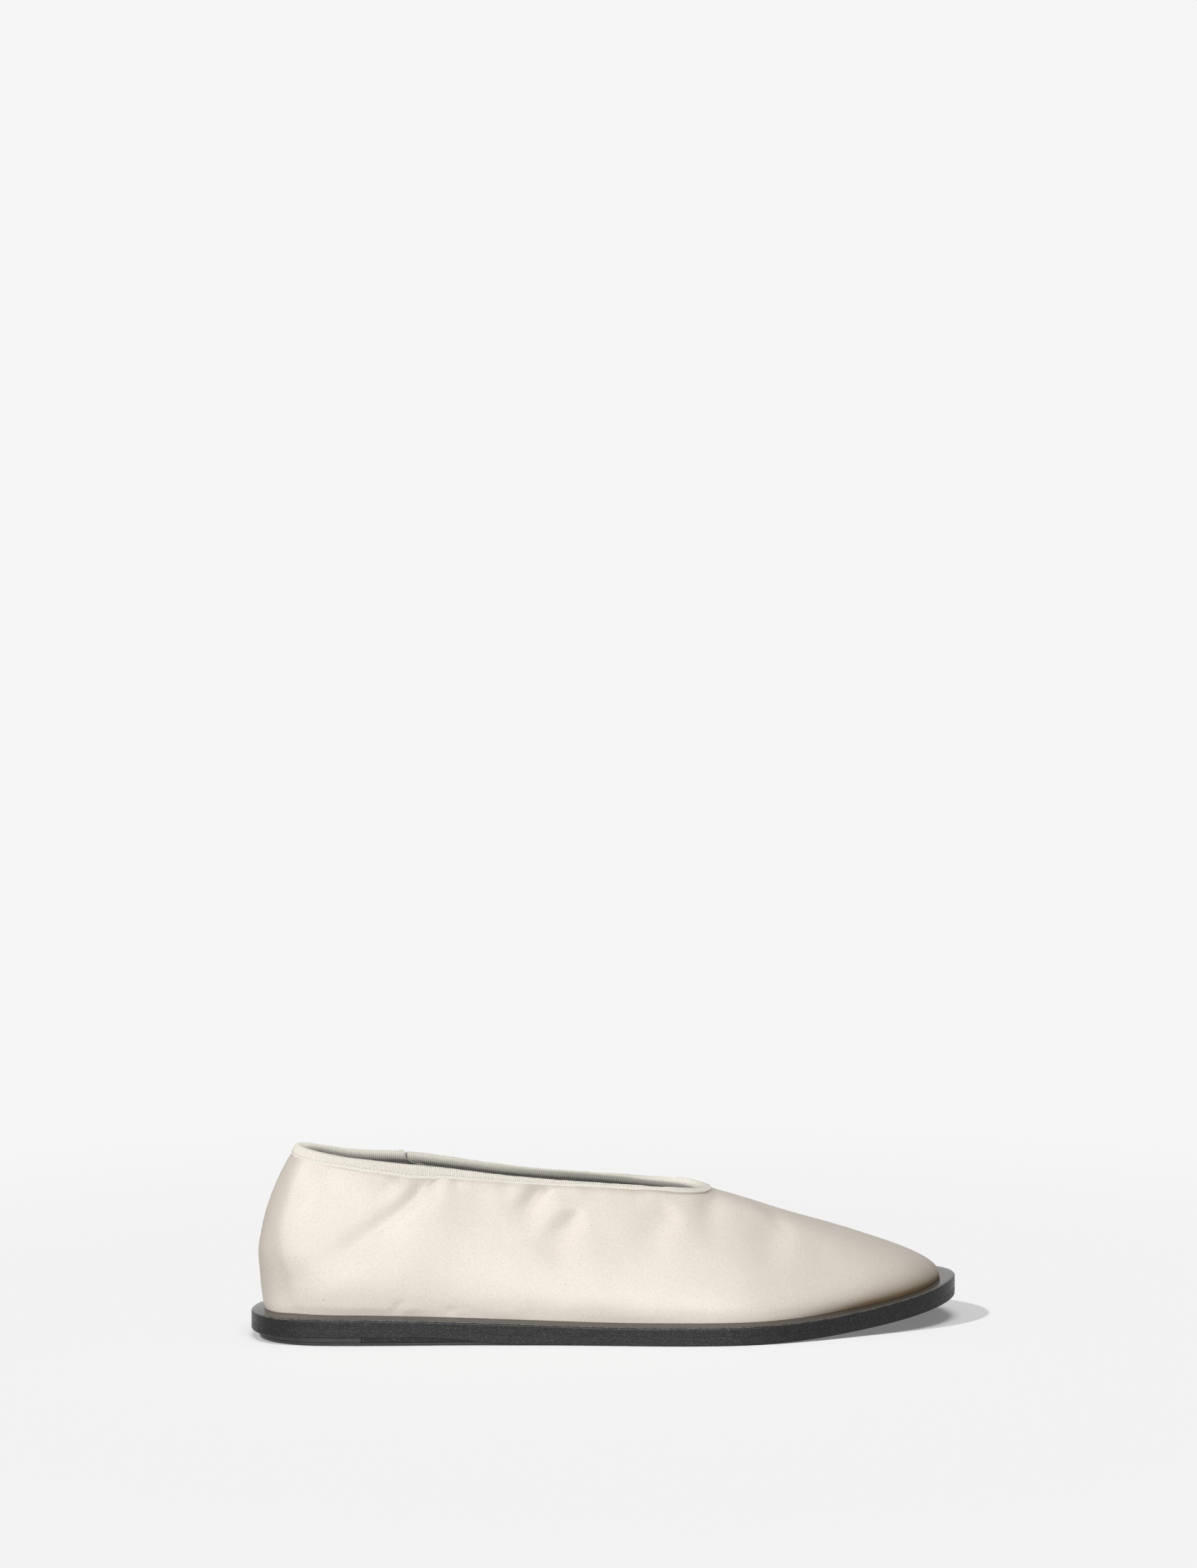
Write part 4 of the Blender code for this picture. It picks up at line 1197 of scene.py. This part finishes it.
def paper_material():
    """Paper with an even glow, which the sun and the sky fill up by the shoe, so that it stays one tone."""
    look = Look("pale_paper")
    lit = look.node("BsdfDiffuse", Color=(PAPER_ALBEDO,) * 3)
    by_shoe = look.node("AddShader")
    look.feed(by_shoe.inputs[0], lit.outputs[0])
    look.feed(by_shoe.inputs[1], glow(look, PAPER - sum(sun[3] for sun in PAPER_SUNS) - PAPER_ALBEDO * SKY))
    away = look.node("VectorMath", "LENGTH", Vector=look.node("NewGeometry").outputs["Position"])
    near, far = PAPER_FADE
    fade = look.node("MapRange", Value=away.outputs["Value"], **{"From Min": near, "From Max": far})
    fade.interpolation_type = "SMOOTHSTEP"
    seen = either(look, fade.outputs["Result"], by_shoe.outputs[0], glow(look, PAPER))
    ray = look.node("LightPath")
    bounced = either(look, ray.outputs["Is Glossy Ray"], glow(look, PAPER_BOUNCE), glow(look, PAPER_MIRRORED))
    whole = either(look, ray.outputs["Is Camera Ray"], bounced, seen)
    look.feed(look.tree.nodes["Material Output"].inputs["Surface"], whole)
    look.tree.nodes.remove(look.shader)
    return look.made


def glow(look, strength):
    return look.node("Emission", Strength=strength).outputs[0]


def either(look, factor, first, second):
    """Mix of two shaders: the first where factor is 0, the second where it is 1."""
    made = look.node("MixShader")
    for socket, value in zip(made.inputs, (factor, first, second)):
        look.feed(socket, value)
    return made.outputs[0]


# ---- build

# The lining's dark grey is partly its own colour and partly painted shading for the inside of the shoe
LINING = leather_material("lining_leather", (0.15, 0.145, 0.137), (0.23, 0.225, 0.212), 0.6)
SOCK = leather_material("sock_leather", (0.60, 0.55, 0.48), (0.70, 0.65, 0.57), 0.5, 1.1)
SOLE = sole_material("outsole_leather", (0.008, 0.008, 0.0088))
# The last colour is a painted reflection on the flange top
MIDSOLE = sole_material("midsole_leather", (0.008, 0.008, 0.0085), 0.36, (0.05, 0.045, 0.038))
BOARD = fibre_material("leatherboard", (0.30, 0.20, 0.13), (0.48, 0.35, 0.24), 1.6)
CORK = fibre_material("cork", (0.36, 0.22, 0.12), (0.66, 0.47, 0.30), 1.4)
ELASTIC = fibre_material("covered_elastic", (0.75, 0.75, 0.72), (0.9, 0.9, 0.88), 0.5)
FELT = fibre_material("felt", (0.70, 0.70, 0.68), (0.85, 0.85, 0.83), 0.7, on_frame=False)
STIFFENER = fibre_material("stiffener_board", (0.50, 0.44, 0.36), (0.66, 0.60, 0.50), 1.2, on_frame=False)
FOAM = fibre_material("foam", (0.70, 0.65, 0.52), (0.84, 0.80, 0.68), 0.6, on_frame=False)

make_upper(satin_material())
make_lining(LINING)
make_stiffeners(STIFFENER, FELT)
make_binding(ribbon_material(), thread_material())
make_midsole(MIDSOLE)
make_outsole(SOLE)
make_heel(rubber_material(), MIDSOLE)
make_sock(SOCK)
make_cushion(FOAM)
dress_cad(steel_material(), "shank", *[f"heel_nail_{n}" for n in range(1, 6)])
dress_cad(BOARD, "insole_board_rear", "insole_forepart")
dress_cad(CORK, "waist_filler", "forepart_filler")
dress_cad(ELASTIC, "topline_elastic")
make_stage()
make_camera()
